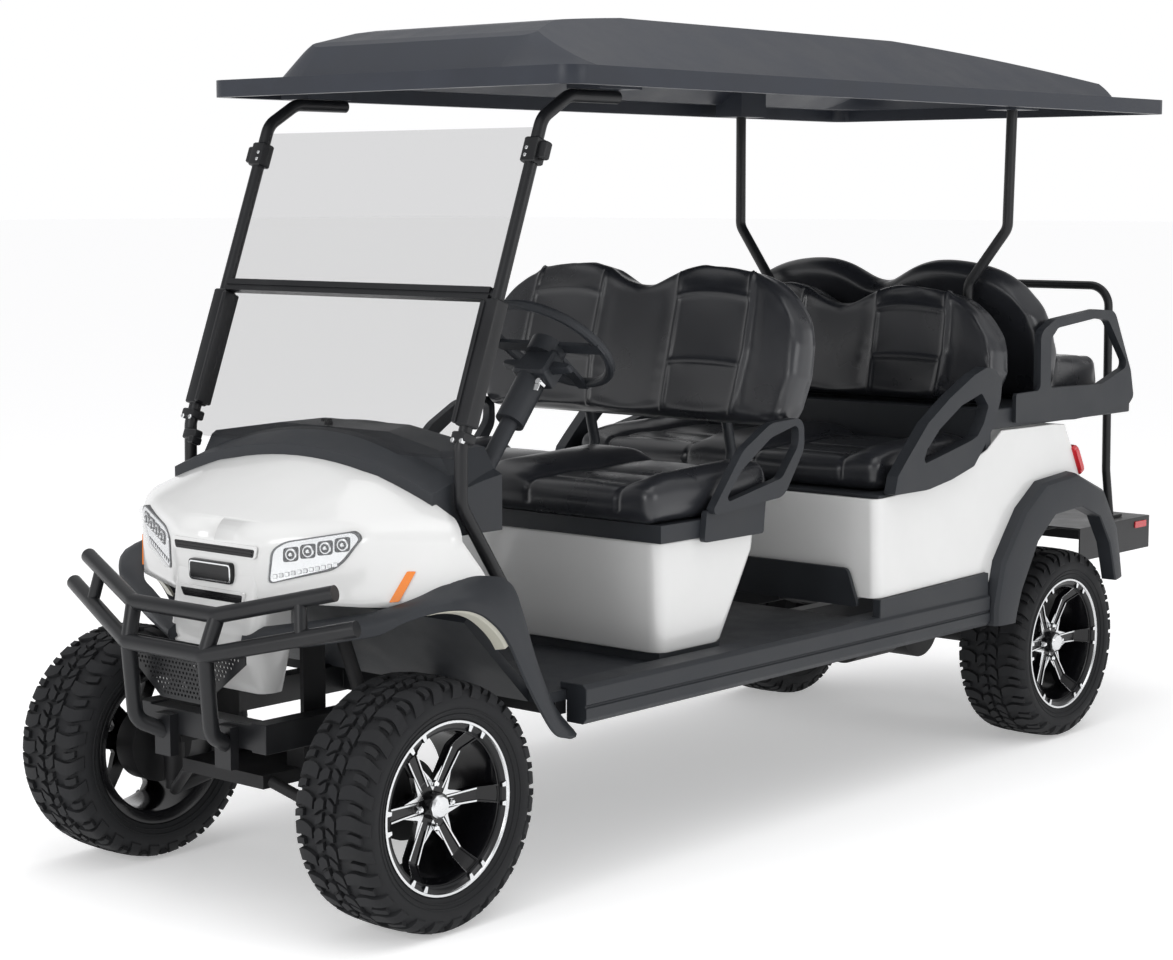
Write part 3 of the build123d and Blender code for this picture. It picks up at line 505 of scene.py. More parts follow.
# cushions: row, front edge, depth, underside, half width, top, bolster, faces rearward, body
CUSHIONS = (("front", 800, 500, 845.5, 530, 94, 26, False, "front_seat"),
            ("middle", 1758, 492, 846.5, 555, 94, 26, False, "middle_seat"),
            ("rear", 3035, 291, 1046.5, 535, 118, 12, True, "chassis"))
WELL_HALF, WELL_TAPER, WELL_SOFT, FRONT_SEAM, MIDDLE_SEAM = 118, 36, 18, 92, 0.48
# how far a cushion's two seats swell, lie below its bolsters and rise to the rear, and its edge radius
SEAT_SWELL, SEAT_SINK, SEAT_SLOPE, CUSHION_EDGE = 5, 7, 14, 36
# backs: row, lower edge's y and z, lean in degrees, height, depth of the valley, side of the front face
BACKS = (("front", 1417, 1046.3, 12.4, 436, 74, -1), ("middle", 2420, 1046.9, 8, 353, 74, -1),
         ("rear", 2640, 1046.9, -14.6, 424, 76, 1))
BACK_HALF, BACK_THICK, BACK_EDGE, BACK_MIDDLE = 577, 105, 38, 0.465
PANEL_HALF, PANEL_SEAMS, PANEL_SINK, LUMBAR, BACK_BOLSTER = 126, (0.36, 0.80), 5, 7, 13
CREST_BLUR = (-36, -18, 0, 18, 36)          # places whose mean rounds off the crest of a back
STITCH_OFFSET = 7                           # from a seam to its row of stitches
WAIST = [(0, 0.93), (0.18, 0.965), (0.45, 1.0), (0.75, 0.99), (1.0, 0.955)]


def box_grid(nx, ny, nz):
    """Surface of a box as a lattice: vertices in 0..1 and quads."""
    index, verts, faces = {}, [], []

    def at(i, j, k):
        if (i, j, k) not in index:
            index[i, j, k] = len(verts)
            verts.append((i / nx, j / ny, k / nz))
        return index[i, j, k]

    for i in range(nx):
        for j in range(ny):
            faces.append((at(i, j, 0), at(i, j + 1, 0), at(i + 1, j + 1, 0), at(i + 1, j, 0)))
            faces.append((at(i, j, nz), at(i + 1, j, nz), at(i + 1, j + 1, nz), at(i, j + 1, nz)))
        for k in range(nz):
            faces.append((at(i, 0, k), at(i + 1, 0, k), at(i + 1, 0, k + 1), at(i, 0, k + 1)))
            faces.append((at(i, ny, k), at(i, ny, k + 1), at(i + 1, ny, k + 1), at(i + 1, ny, k)))
    for j in range(ny):
        for k in range(nz):
            faces.append((at(0, j, k), at(0, j, k + 1), at(0, j + 1, k + 1), at(0, j + 1, k)))
            faces.append((at(nx, j, k), at(nx, j + 1, k), at(nx, j + 1, k + 1), at(nx, j, k + 1)))
    return verts, faces


def round_off(point, low, high, radius):
    """Pull a point of a box's surface onto the same box with rounded edges."""
    core = Vector([min(max(c, a + radius), b - radius) for c, a, b in zip(point, low, high)])
    out = Vector(point) - core
    return core + out.normalized() * radius if out.length else Vector(point)


def puff(piece, pinned):
    """Swell a cover under light pressure with its seams held, moving no point further than SWELL_LIMIT."""
    group = piece.vertex_groups.new(name="held")
    group.add(pinned, 1.0, "REPLACE")
    cloth = piece.modifiers.new("Cloth", "CLOTH")
    cloth.settings.vertex_group_mass = "held"
    cloth.settings.use_pressure = True
    cloth.settings.uniform_pressure_force = PRESSURE
    cloth.settings.effector_weights.gravity = 0
    cloth.settings.quality = 4
    cloth.collision_settings.use_collision = False
    for number in range(1, FRAMES + 1):
        bpy.context.scene.frame_set(number)
    ends = [vertex.co.copy() for vertex in evaluated(piece).data.vertices]
    piece.modifiers.remove(cloth)
    piece.vertex_groups.remove(group)
    for vertex, end in zip(piece.data.vertices, ends):
        move = end - vertex.co
        vertex.co += move * min(1, SWELL_LIMIT / move.length) if move.length else move
    bpy.context.scene.frame_set(1)


class Pad:
    """A cushion or back: lattice, outline, relief and seams in its own millimetres, and its place."""

    def __init__(self, low, high, radius, shape, seams, place, back, held):
        self.low, self.high, self.radius, self.shape, self.seams = low, high, radius, shape, seams
        self.place, self.back, self.held = place, back, held

    def build(self, name, body, node):
        size = [b - a for a, b in zip(self.low, self.high)]
        lattice, faces = box_grid(*[max(4, round(s / PAD_CELL)) for s in size])
        local = [round_off([a + t * s for a, t, s in zip(self.low, p, size)],
                           self.low, self.high, self.radius) for p in lattice]
        shaped = [self.shape(p) for p in local]
        piece = add_piece(name, [self.place(p) for p in shaped], faces, ["vinyl"], (node,),
                          None, body=body)
        puff(piece, [i for i, p in enumerate(shaped) if self.held(p) or self.seams(p) < HELD_WIDTH])
        piece.modifiers.new("Subdivision", "SUBSURF").levels = 1
        apply_modifiers(piece)
        self.press_seams(piece.data)
        return piece

    def press_seams(self, mesh):
        """Shade the cover smooth and draw it in along its seams."""
        for polygon in mesh.polygons:
            polygon.use_smooth = True
        moved = []
        for vertex in mesh.vertices:
            away = self.seams(self.back(vertex.co))
            moved.append(vertex.co - vertex.normal * SEAM_DEPTH * MM * exp(-(away / SEAM_WIDTH) ** 2)
                         if away < 3 * SEAM_WIDTH else vertex.co.copy())
        for vertex, to in zip(mesh.vertices, moved):
            vertex.co = to
        mesh.update()


def stitch(name, piece, body, lines, ray):
    """A row of short thread stitches laid on a cover along lines of points, found by looking along ray."""
    mesh = piece.data
    tree = BVHTree.FromPolygons([v.co for v in mesh.vertices], [p.vertices for p in mesh.polygons])
    shape = Shape()
    for line in lines:
        starts = []
        for a, b in zip(line, line[1:]):
            steps = max(1, round((b - a).length / STITCH_PITCH))
            starts += [a.lerp(b, k / steps) for k in range(steps)]
        found = [tree.ray_cast(p - ray * LOOK_BACK, ray) for p in starts]
        found = [(hit, normal) for hit, normal, _, _ in found if hit is not None]
        for (hit, normal), (after, _) in zip(found, found[1:]):
            run = after - hit
            if run.length > 3 * STITCH_PITCH or run.length < 0.001:
                continue
            ahead = run.normalized()
            across = normal.cross(ahead).normalized()
            rings = []
            for t, size, lift in ((0, 0.4, 0.0), (0.25, 1, 0.0007), (0.75, 1, 0.0007), (1, 0.4, 0.0)):
                middle = hit + ahead * STITCH_LENGTH * t + normal * lift
                rings.append([middle + (across * c + normal * s) * STITCH_THICK * 0.5 * size for c, s in
                              ((1, 0), (0, 1), (-1, 0), (0, -1))])
            shape.rings(rings)
    shape.piece(name, ["thread"], "seat_vinyl", body=body)


def cushion_pad(front, depth, bottom, half, top, rise, mirrored):
    """Bench cushion with two dished seats between bolsters; depth runs away from its front edge."""
    middle, ridge = half * 0.5, depth * MIDDLE_SEAM

    def well_edge(y):
        return WELL_HALF + WELL_TAPER * (1 - y / depth)

    def shape(p):
        x, y, z = p
        s, well = abs(abs(x) - middle), well_edge(y)
        share = ease((z - 0.35 * top) / (0.65 * top))
        bolster = ease((s - well + WELL_SOFT) / 88) * (0.35 + 0.65 * ease(y / 120))
        if s > well + 60:
            bolster *= 1 - 0.30 * ease((s - well - 60) / 60) * (1 if abs(x) > middle else 0)
        swell = max(0, (y - 90) / (ridge - 90)) if y < ridge else (y - ridge) / (depth * 0.52)
        dish = (SEAT_SWELL * sin(pi * min(1, swell)) - SEAT_SINK) * (1 - ease((s - well + WELL_SOFT) / 60))
        slope = SEAT_SLOPE * y / depth
        return Vector((x, y, z + share * (rise * bolster + dish + slope)))

    def seams(p):
        if p[2] < 0.3 * top:
            return FAR
        s, well = abs(abs(p[0]) - middle), well_edge(p[1])
        away = abs(s - well)
        if s < well:
            away = min(away, abs(p[1] - FRONT_SEAM), abs(p[1] - ridge))
        return away

    turn = -1 if mirrored else 1

    def place(p):
        return Vector((p[0] * MM, (front + turn * p[1]) * MM - MID_Y, (bottom + p[2]) * MM))

    def back(w):
        return Vector((w[0] / MM, ((w[1] + MID_Y) / MM - front) * turn, w[2] / MM - bottom))

    pad = Pad((-half, 0, 0), (half, depth, top), CUSHION_EDGE, shape, seams, place, back,
              lambda p: p[2] < 6)
    lines = []
    for seat in (-1, 1):
        for side in (-1, 1):
            lines.append([place((seat * middle + side * (well_edge(y) + STITCH_OFFSET), y, top))
                          for y in range(24, int(depth) - 26, 12)])
        for y in (FRONT_SEAM, ridge):
            reach = well_edge(y) - 8
            lines.append([place((seat * middle + x, y + STITCH_OFFSET, top)) for x in (-reach, 0, reach)])
    return pad, lines


def back_pad(low_y, low_z, lean, height, valley, face):
    """Two-hump back; its own y runs from the rear (0) to the front face, height up."""
    middle, tilt = BACK_HALF * BACK_MIDDLE, radians(lean)
    crest = [(0, height - valley), (45, height - valley + 6), (110, height - 30), (170, height - 8),
             (240, height), (330, height - 6), (420, height - 24), (490, height - 56), (545, height - 105),
             (BACK_HALF, height - 165)]

    def top(x):
        return sum(ramp_value(crest, abs(abs(x) + d)) for d in CREST_BLUR) / len(CREST_BLUR)

    def shape(p):
        x, y, z = p
        share = z / height
        s = abs(abs(x) - middle)
        front = ease((y - 0.4 * BACK_THICK) / (0.6 * BACK_THICK))
        bolster = ease((s - 110) / 80)
        lumbar = sin(pi * min(1, max(0, share / 0.75)))
        relief = BACK_BOLSTER * bolster * sin(pi * min(1, max(0, share * 0.9 + 0.08)))
        relief += LUMBAR * lumbar * (1 - bolster) - PANEL_SINK
        return Vector((x * ramp_value(WAIST, share), y + front * relief, share * top(x)))

    def seams(p):
        if p[1] < 0.55 * BACK_THICK:
            return FAR
        share = p[2] / top(p[0])
        x = p[0] / ramp_value(WAIST, share)
        s = abs(abs(x) - middle)
        away = abs(s - PANEL_HALF) if 0.04 < share < 0.97 else FAR
        if s < PANEL_HALF:
            away = min(away, *[abs(share - seam) * height for seam in PANEL_SEAMS])
        return away

    def place(p):
        y, z = face * p[1], p[2]
        return Vector((p[0] * MM, (low_y + y * cos(tilt) + z * sin(tilt)) * MM - MID_Y,
                       (low_z - y * sin(tilt) + z * cos(tilt)) * MM))

    def back(w):
        y, z = (w[1] + MID_Y) / MM - low_y, w[2] / MM - low_z
        return Vector((w[0] / MM, face * (y * cos(tilt) - z * sin(tilt)),
                       y * sin(tilt) + z * cos(tilt)))

    pad = Pad((-BACK_HALF, 0, 0), (BACK_HALF, BACK_THICK, height), BACK_EDGE, shape, seams, place, back,
              lambda p: p[1] < 10 or p[2] < 6)
    lines = []
    for seat in (-1, 1):
        for side in (-1, 1):
            x = seat * middle + side * (PANEL_HALF + STITCH_OFFSET)
            lines.append([place((x * ramp_value(WAIST, t / 40), BACK_THICK, t / 40 * top(x)))
                          for t in range(3, 39)])
        for share in PANEL_SEAMS:
            lines.append([place((x, BACK_THICK, share * top(x) + STITCH_OFFSET))
                          for x in (seat * middle + u for u in range(-118, 119, 20))])
    return pad, lines


def build_seats():
    for row, *sizes, body in CUSHIONS:
        pad, lines = cushion_pad(*sizes)
        piece = pad.build(f"{row}_seat_cover", body, f"{row}_cushion")
        stitch(f"{row}_seat_thread", piece, body, lines, Vector((0, 0, -1)))
    for row, *sizes in BACKS:
        pad, lines = back_pad(*sizes)
        piece = pad.build(f"{row}_back_cover", "chassis", f"{row}_backrest")
        stitch(f"{row}_back_thread", piece, "chassis", lines, Vector((0, -sizes[-1], 0)))


# ---------------------------------------------------------------- nose
LAMP_PLANE = ((150, -160, 0), (250, 105, 0), (0, 0, 1))
LAMP_OUTLINE = [(24, 778), (33, 857), (66, 879), (244, 911), (262, 896), (218, 839), (190, 818)]
PROJECTORS, SMALL_LAMPS = 4, 11
PROJECTOR_ROW, SMALL_ROW = ((84, 43), (848, 9.4)), ((44, 152), (797, 34))     # start, then step or whole run
# outlines about a projector's and a small lamp's middle
BEZEL = ((-20, -17), (19, -12), (20, 22), (-19, 16))
SMALL_LAMP = ((-5.4, -5), (5.4, -4), (5.4, 6), (-5.4, 5))
COVER_DOME = ((0, 0.2), (0.8, 8), (2.5, 11), (6, 12.2), (14, 12.6))     # how far drawn in, and how proud
GUARD_OUTLINE = [(-225, 640), (225, 640), (225, 612), (75, 500), (-75, 500), (-225, 612)]
GUARD_Y, GUARD_HALF_THICK = -266.3, 1.5
HOLE_ROWS, HOLE_COLUMNS, HOLE_LOW, HOLE_RISE, HOLE_PITCH, HOLE_RADIUS = 11, 20, 513, 10.6, 12.4, 3.7


def build_lamps():
    """Bright housing with four projectors and a row of small lamps behind a clear cover, on each side."""
    for side, name in SIDES:
        put = on_plane(*LAMP_PLANE, side)
        shape = Shape()
        shape.slab(rounded(LAMP_OUTLINE, 16), put, -24, 1.2, inset=0.6)
        shape.slab(rounded(shrunk(LAMP_OUTLINE, 7), 14), put, 1.0, 2.2, inset=0.5, pick=1)
        for number in range(PROJECTORS):
            cu, cv = (start + number * step for start, step in PROJECTOR_ROW)
            shape.slab(rounded([(cu + u, cv + v) for u, v in BEZEL], 8), put, 2.0, 4.2, inset=1.5, pick=2)
            shape.slab(circle(cu + 1, cv + 2, 14.5), put, 4.0, 6.0, inset=1.5, pick=1)
            shape.slab(circle(cu + 1, cv + 2, 10.5), put, 5.8, 8.2, inset=1.8, top_pick=2)
            shape.slab(circle(cu + 1, cv + 2, 6), put, 8.0, 10.5, inset=3, pick=1)
        for number in range(SMALL_LAMPS):
            t = number / (SMALL_LAMPS - 1)
            cu, cv = (start + run * t for start, run in SMALL_ROW)
            shape.slab(rounded([(cu + u, cv + v) for u, v in SMALL_LAMP], 2), put, 2.0, 4.0, inset=1.0,
                       top_pick=3 if number % 2 else 1)
        shape.piece(f"headlight_{name}", ["lamp_dark", "chrome", "gloss_black", "lamp_clear"], "lamp_clear",
                    ("headlights",) if side > 0 else ())
        cover = Shape()
        rings = [[put(u, v, w) for u, v in rounded(shrunk(LAMP_OUTLINE, draw), 16)] for draw, w in COVER_DOME]
        cover.rings(rings, caps=False)
        cover.add(rings[-1], [tuple(range(len(rings[-1])))])
        cover.piece(f"headlight_cover_{name}", ["cover"], "lamp_clear")


def build_nose_trim():
    """Blank badge plate, the surrounds of the two slots, and the side markers."""
    put = on_plane((0, -163.4, 0), (1, 0, 0), (0, 0, 1))
    shape = Shape()
    shape.slabs(put, (wedge(145, 834, 152, 864), 9, -2, 0.9, 0.5, 1),
                (wedge(138, 837, 143, 856), 5, 0.5, 1.4, 0.3, 0))
    for v in (842, 849):
        shape.slab(wedge(134, v, 135, v + 2.5), put, 1.0, 3.4, inset=0.8)
    low = on_plane((0, -170.6, 740), (1, 0, 0), (0, -0.17, 0.98))
    shape.slabs(low, (wedge(110, -16, 119, 15), 9, -2, 3.2, 0.5, 1),
                (wedge(103, -13, 110, 8), 5, 2.5, 3.8, 0.3, 0))
    shape.slab(wedge(100, -4, 101, -1.5), low, 3.2, 5.6, inset=0.8)
    shape.piece("nose_slots", ["gloss_black", "white"], "black_plastic")
    badge = Shape()
    badge.slabs(on_plane((-6, -166, 793), (1, 0, 0), (0, -0.05, 1)),
                (wedge(76, -25, 76, 25), 11, -8, 7, 1.0, 0), (wedge(73, -22, 73, 22), 9, 6.5, 8.2, 0.8, 1),
                (wedge(69.5, -18.5, 69.5, 18.5), 7, 8.0, 8.9, 0.8, 0))
    badge.piece("badge_plate", ["gloss_black", "chrome"], "black_plastic")
    for side, name in SIDES:
        put = on_plane((400, -55, 0), (145, 125, 0), (0, 0, 1), side)
        marker = Shape()
        marker.slab(rounded([(92, 820), (113, 820), (74, 750), (50, 748)], 4), put, -3, 3.2, inset=0.8)
        marker.piece(f"side_marker_{name}", ["orange"], "lamp_clear")


def build_nose_screen():
    """Pierced stone guard: a flat plate with staggered round holes."""
    data = bpy.data.curves.new("screen_plate", "CURVE")
    data.dimensions = "2D"
    data.fill_mode = "BOTH"
    data.extrude = GUARD_HALF_THICK * MM
    holes = []
    for row in range(HOLE_ROWS):
        v = HOLE_LOW + row * HOLE_RISE
        reach = 66 + max(0, min(132, (v - HOLE_LOW) * 1.32)) if v < 615 else 205
        for col in range(-HOLE_COLUMNS, HOLE_COLUMNS + 1):
            u = (col + 0.5 * (row % 2)) * HOLE_PITCH
            if abs(u) < reach:
                holes.append(circle(u, v, HOLE_RADIUS, 8))
    for loop in [GUARD_OUTLINE] + holes:
        spline = data.splines.new("POLY")
        spline.points.add(len(loop) - 1)
        for point, (u, v) in zip(spline.points, loop):
            point.co = (u * MM, v * MM, 0, 1)
        spline.use_cyclic_u = True
    pattern = link_object("screen_pattern", data)
    bpy.context.view_layer.update()
    mesh = bpy.data.meshes.new_from_object(evaluated(pattern))
    verts = [Vector((v.co.x, GUARD_Y * MM - MID_Y - v.co.z, v.co.y)) for v in mesh.vertices]
    faces = [tuple(p.vertices) for p in mesh.polygons]
    bpy.data.objects.remove(pattern)
    bpy.data.curves.remove(data)
    bpy.data.meshes.remove(mesh)
    add_piece("stone_guard", verts, faces, ["tube"], ("nose_screen",), None)


# ---------------------------------------------------------------- bonnet, seat box and rear body
PLAN = [(0, -163), (128, -161), (152, -157), (180, -146), (235, -124), (290, -101), (345, -78), (383, -61),
        (410, -44), (440, -19), (480, 14), (520, 48), (541, 69), (553, 100), (561, 150), (568, 190),
        (573, 228)]
# y, height at the middle, height at CROWN_HALF to the side
CROWN = [(-260, 835, 730), (-140, 912, 800), (95, 1047, 866), (480, 1118, 930)]
CROWN_HALF, FILLET, SKIRT, SHOULDER_END = 660, 34, 736, 105
# the crease on each side of the bonnet: its front end (y and distance off the middle), spread, rise and width
CREASE_FRONT, CREASE_HALF, CREASE_SPREAD, CREASE_RISE, CREASE_WIDTH = -160, 150, 0.55, 3.0, 30
# the slanted rear edge of the side walls: y and height of its upper end, and its fall over a run
SLANT_Y, SLANT_Z, SLANT_FALL, SLANT_RUN = 66, 942, 226, 158
WALL_STEPS, ARC_STEPS = (0, 0.12, 0.3, 0.5, 0.7, 0.88, 1), 6
ACROSS = (0.94, 0.87, 0.8, 0.72, 0.63, 0.54, 0.45, 0.36, 0.27, 0.18, 0.09)
REAR_HALF, REAR_ROWS = 458, (118, 154)      # half width and y of the skin's rear edge under the dashboard
NOSE_ROWS = ((505, 116, -118), (520, 121, -128), (560, 133, -150), (600, 144, -171), (622, 150, -183),
             (638, 152.5, -187), (660, 153, -184), (720, 154, -173), (800, 156, -160), (880, 157, -146))
# z, front, rear and how far drawn in
POD_ROWS = ((516, 850, 1106, 7), (519, 850, 1108, 2), (525, 850, 1111, 0), (600, 848, 1156, 0),
            (680, 846, 1204, 0), (736, 844, 1237, 0), (743, 844, 1241, 0), (760, 843, 1244, 0),
            (792, 842, 1248, 0), (799, 842, 1249, 0))
POD_HALF, POD_CORNER = 520, 38
# the rear body's upright front corners, outside and inside: half width, y and its tolerance, radius
SHELL_CORNERS = ((600, 1698.5, 5, 30), (595, 1708, 2.5, 24))


def crown_height(x, y):
    middle, edge = (sum(ramp_value(CROWN, y + d, column) for d in (-30, -10, 10, 30)) / 4
                    for column in (1, 2))
    line = CREASE_HALF + (y - CREASE_FRONT) * CREASE_SPREAD
    crease = CREASE_RISE * exp(-((abs(x) - line) / CREASE_WIDTH) ** 2) * ease((y + 100) / 120)
    return middle - (middle - edge) * (x / CROWN_HALF) ** 2 + crease


def inward(i):
    """Direction into the bonnet from a point of its plan."""
    if i == 0:
        return Vector((0, 1))
    run = (Vector(PLAN[min(i + 1, len(PLAN) - 1)]) - Vector(PLAN[i - 1])).normalized()
    return Vector((-run.y, run.x))


def solidified(piece, thickness):
    """Give a skin its thickness in mm, inwards."""
    piece.modifiers.new("Weld", "WELD").merge_threshold = 0.0002
    modifier = piece.modifiers.new("Solidify", "SOLIDIFY")
    modifier.thickness = thickness * MM
    modifier.offset = 1
    apply_modifiers(piece)


def bonnet_rows():
    """Sections of the skin: whole ones from side to side, then the side walls alone behind the shoulder."""
    whole, walls = [], []
    for i, (x, y) in enumerate(PLAN):
        n = inward(i)
        edge = crown_height(x, y) - FILLET
        if y > SHOULDER_END:
            edge = max(SKIRT + 2, min(edge, SLANT_Z - (y - SLANT_Y) * SLANT_FALL / SLANT_RUN))
        half = [(x, y, SKIRT + (edge - SKIRT) * t) for t in WALL_STEPS]
        if y > SHOULDER_END:
            walls.append(half)
            continue
        for k in range(1, ARC_STEPS + 1):
            a = k / ARC_STEPS * pi / 2
            px, py = x + n.x * FILLET * (1 - cos(a)), y + n.y * FILLET * (1 - cos(a))
            px = max(px, 0.4)
            half.append((px, py, crown_height(px, py) - FILLET * (1 - sin(a))))
        half += [(px * t, py, crown_height(px * t, py)) for t in ACROSS]
        whole.append(half + [(0, py, crown_height(0, py))] + [(-a, b, c) for a, b, c in reversed(half)])
    return whole, walls


def build_bonnet():
    """Painted skin: side walls with slanted rear edges, a rounded shoulder and the crowned top."""
    shape = Shape()
    whole, walls = bonnet_rows()
    shape.rings([[at_cal(*p) for p in row] for row in whole], closed=False, caps=False)
    for side, _ in SIDES:
        stack = [[at_cal(side * x, y, z) for x, y, z in row[:len(WALL_STEPS)]] for row in [whole[-1]] + walls]
        shape.rings(stack if side > 0 else stack[::-1], closed=False, caps=False)
    shoulder = len(WALL_STEPS) + ARC_STEPS - 1
    rear = whole[-1][shoulder:-shoulder]
    keep = REAR_HALF / max(abs(x) for x, _, _ in rear)
    across = [min(REAR_HALF, max(-REAR_HALF, x)) * keep for x, _, _ in rear]
    behind = [[at_cal(x, y, crown_height(x, y)) for x in across] for y in REAR_ROWS]
    shape.rings([[at_cal(*p) for p in rear]] + behind, closed=False, caps=False)
    solidified(shape.piece("bonnet", ["white"], "body_white", ("front_cowl",), smooth=50), 4)
    nose, rings = Shape(), []
    for z, half, y in NOSE_ROWS:
        outline = [(-half + 4, -52), (-half, y + 26), (-half + 16, y)]
        outline += [(-u, v) for u, v in reversed(outline)]
        rings.append([at_cal(u, v, z) for u, v in rounded(outline, 14, 3)])
    nose.rings(rings)
    nose.piece("nose_shield", ["white"], "body_white", smooth=42)


def build_pods():
    """Seat box with rounded upright corners, and the rear body with its front corners rounded."""
    shape, rings = Shape(), []
    for z, front, rear, draw in POD_ROWS:
        half = POD_HALF - draw
        outline = wedge(half, front + draw, half, rear - draw)
        rings.append([at_cal(x, y, z) for x, y in rounded(outline, POD_CORNER, 7)])
    shape.rings(rings, caps=False)
    solidified(shape.piece("seat_box", ["white"], "body_white", ("seat_pod",), smooth=38), 5)
    build = bmesh.new()
    build.from_mesh(NODES["rear_body"].data)
    bmesh.ops.remove_doubles(build, verts=build.verts, dist=0.00005)
    bmesh.ops.dissolve_limit(build, angle_limit=radians(0.4), verts=build.verts, edges=build.edges)
    for reach, front, near, radius in SHELL_CORNERS:
        picked = [e for e in build.edges if abs(e.verts[0].co.z - e.verts[1].co.z) > 0.05
                  and all(abs(abs(v.co.x) / MM - reach) < 0.6 and abs((v.co.y + MID_Y) / MM - front) < near
                          for v in e.verts)]
        bmesh.ops.bevel(build, geom=picked, offset=radius * MM, segments=6, affect="EDGES", profile=0.5)
    verts = [v.co.copy() for v in build.verts]
    build.verts.index_update()
    faces = [tuple(v.index for v in f.verts) for f in build.faces]
    build.free()
    add_bevel(add_piece("rear_shell", verts, faces, ["white"], ("rear_body",), 30), 3, 2, 40)


# ---------------------------------------------------------------- flares, screen fittings and trim
FRONT_UPPER = [(99, -161, 667), (227, -127, 690), (323, -87, 708), (389, -58, 721), (442, -17, 739),
               (485, 20, 760), (528, 58, 787), (552, 115, 803), (566, 175, 799), (573, 225, 785),
               (577, 262, 740), (570, 302, 632), (548, 384, 500), (536, 460, 408)]
FRONT_LIP = [(130, -200, 632), (290, -137, 660), (400, -92, 684), (455, -68, 698), (508, -44, 728),
             (560, 0, 751), (597, 45, 757), (614, 90, 746), (619, 137, 717), (620, 188, 668),
             (620, 245, 576), (620, 311, 474), (620, 361, 411), (620, 414, 390)]
ARCH_MIDDLE = Vector((0, 0, 330))
PALE_SPAN = slice(25, 47)       # the points of the front lip that carry the pale inner edge
PALE_SECTION = ((16, 10), (24, 16), (30, 44), (22, 44), (13, 16))   # its points, toward the axle and inward
# y and z of the rear arch, at the body and at the tyre
REAR_OUTER = [(2262, 411), (2262, 470), (2300, 600), (2356, 670), (2420, 745), (2530, 815), (2718, 830),
              (2890, 765), (2980, 640), (3004, 555), (3022, 475)]
REAR_LIP = [(2360, 411), (2368, 440), (2392, 503), (2430, 562), (2480, 640), (2580, 712), (2738, 722),
            (2850, 680), (2915, 590), (2936, 528), (2955, 468)]
# y and z of the windscreen's struts, which lean between these points, and how far they stand off the middle
STRUT_LOW, STRUT_TOP, STRUT_X = (173, 1089), (455, 1850), 480
STRUT_LEAN = atan2(STRUT_TOP[0] - STRUT_LOW[0], STRUT_TOP[1] - STRUT_LOW[1])
STRUT_UP = (0, sin(STRUT_LEAN), cos(STRUT_LEAN))
HINGE_Z, HINGE_HALF = 1437, 463
HINGE_SECTION = [(-16.5, -15), (-16.5, -5.5), (-13.4, -4), (-13.4, -1), (-16.5, 0.5), (-16.5, 15), (13.5, 15),
                 (13.5, -15)]
# blocks on the struts: lower and upper height, half width, half depth, and how far outward and rearward
SLEEVES = ((1136, 1424, 21, 20), (1140, 1418, 7, 24, -24), (1100, 1122, 22, 20))
CATCHES = ((1742, 1800, 22, 19), (1752, 1792, 15, 11, 30))
LATCHES = ((1050, 1074, 24, 13, -26, -6), (1040, 1058, 10, 16, -44, -10))
# heights of the clips and upper catches, how far off these their bolts are, and the struts' front face
CLIP_Z, CLIP_BOLT, CATCH_Z, CATCH_BOLT, STRUT_FACE = 1111, 14, 1771, 9, 17
COLUMN_TILT = radians(39)
SHROUD_PLACE, KEY_PLACE = (286, 652, 1243), (322, 622, 1206)
REFLECTOR_PLACE, TOE_PLACE = (440, 3495, 574), (0, 1698.5, 0)
TAIL_LENS = [(2744, 902), (2772, 908), (2820, 823), (2797, 810)]


def shift(x):
    return Vector((x, 0, 0))


def on_side(ring, side):
    """Ring of points in mm placed on one side of the cart."""
    return [at_cal(p.x * side, p.y, p.z) for p in ring]


def build_flares():
    """Arch mouldings: swept bands with a pale inner edge over the front wheels, faceted ones at the rear."""
    for side, name in SIDES:
        shape, bands, pale = Shape(), [], []
        for upper, lip in zip(curve_through(FRONT_UPPER, 5), curve_through(FRONT_LIP, 5)):
            inner = Vector((0, ARCH_MIDDLE.y - lip.y, ARCH_MIDDLE.z - lip.z)).normalized()
            across = lip - upper
            bulge = shift(5) - inner * 9
            bands.append([upper, upper + across * 0.25 + bulge * 0.7, upper + across * 0.55 + bulge,
                          upper + across * 0.85 + bulge * 0.8, lip + shift(1), lip + inner * 16 + shift(1),
                          lip + inner * 19 - shift(4), lip + inner * 12 - shift(14),
                          upper + inner * 14 + across * 0.1])
            pale.append([lip + inner * depth - shift(x) for depth, x in PALE_SECTION])
        shape.rings([on_side(ring, side) for ring in bands])
        shape.rings([on_side(ring, side) for ring in pale[PALE_SPAN]], pick=1)
        rear = []
        for outer, lip in zip(REAR_OUTER, REAR_LIP):
            outer, lip = Vector((0, *outer)), Vector((0, *lip))
            ahead = (lip - outer).normalized()
            rear.append([outer + shift(600.5), outer + shift(630) + ahead * 4,
                         outer + shift(641) + ahead * 14, outer + shift(645) + ahead * 30,
                         lip + shift(649) - ahead * 10, lip + shift(649) - ahead * 3,
                         lip + shift(645), lip + shift(600.5)])
        shape.rings([on_side(ring, side) for ring in rear])
        shape.piece(f"flare_{name}", ["moulded", "cream"], "black_plastic",
                    ("wheel_flares",) if side > 0 else (), smooth=33)


def strut_point(z):
    """The y of the struts' middle line at a height."""
    return STRUT_LOW[0] + (z - STRUT_LOW[1]) * (STRUT_TOP[0] - STRUT_LOW[0]) / (STRUT_TOP[1] - STRUT_LOW[1])


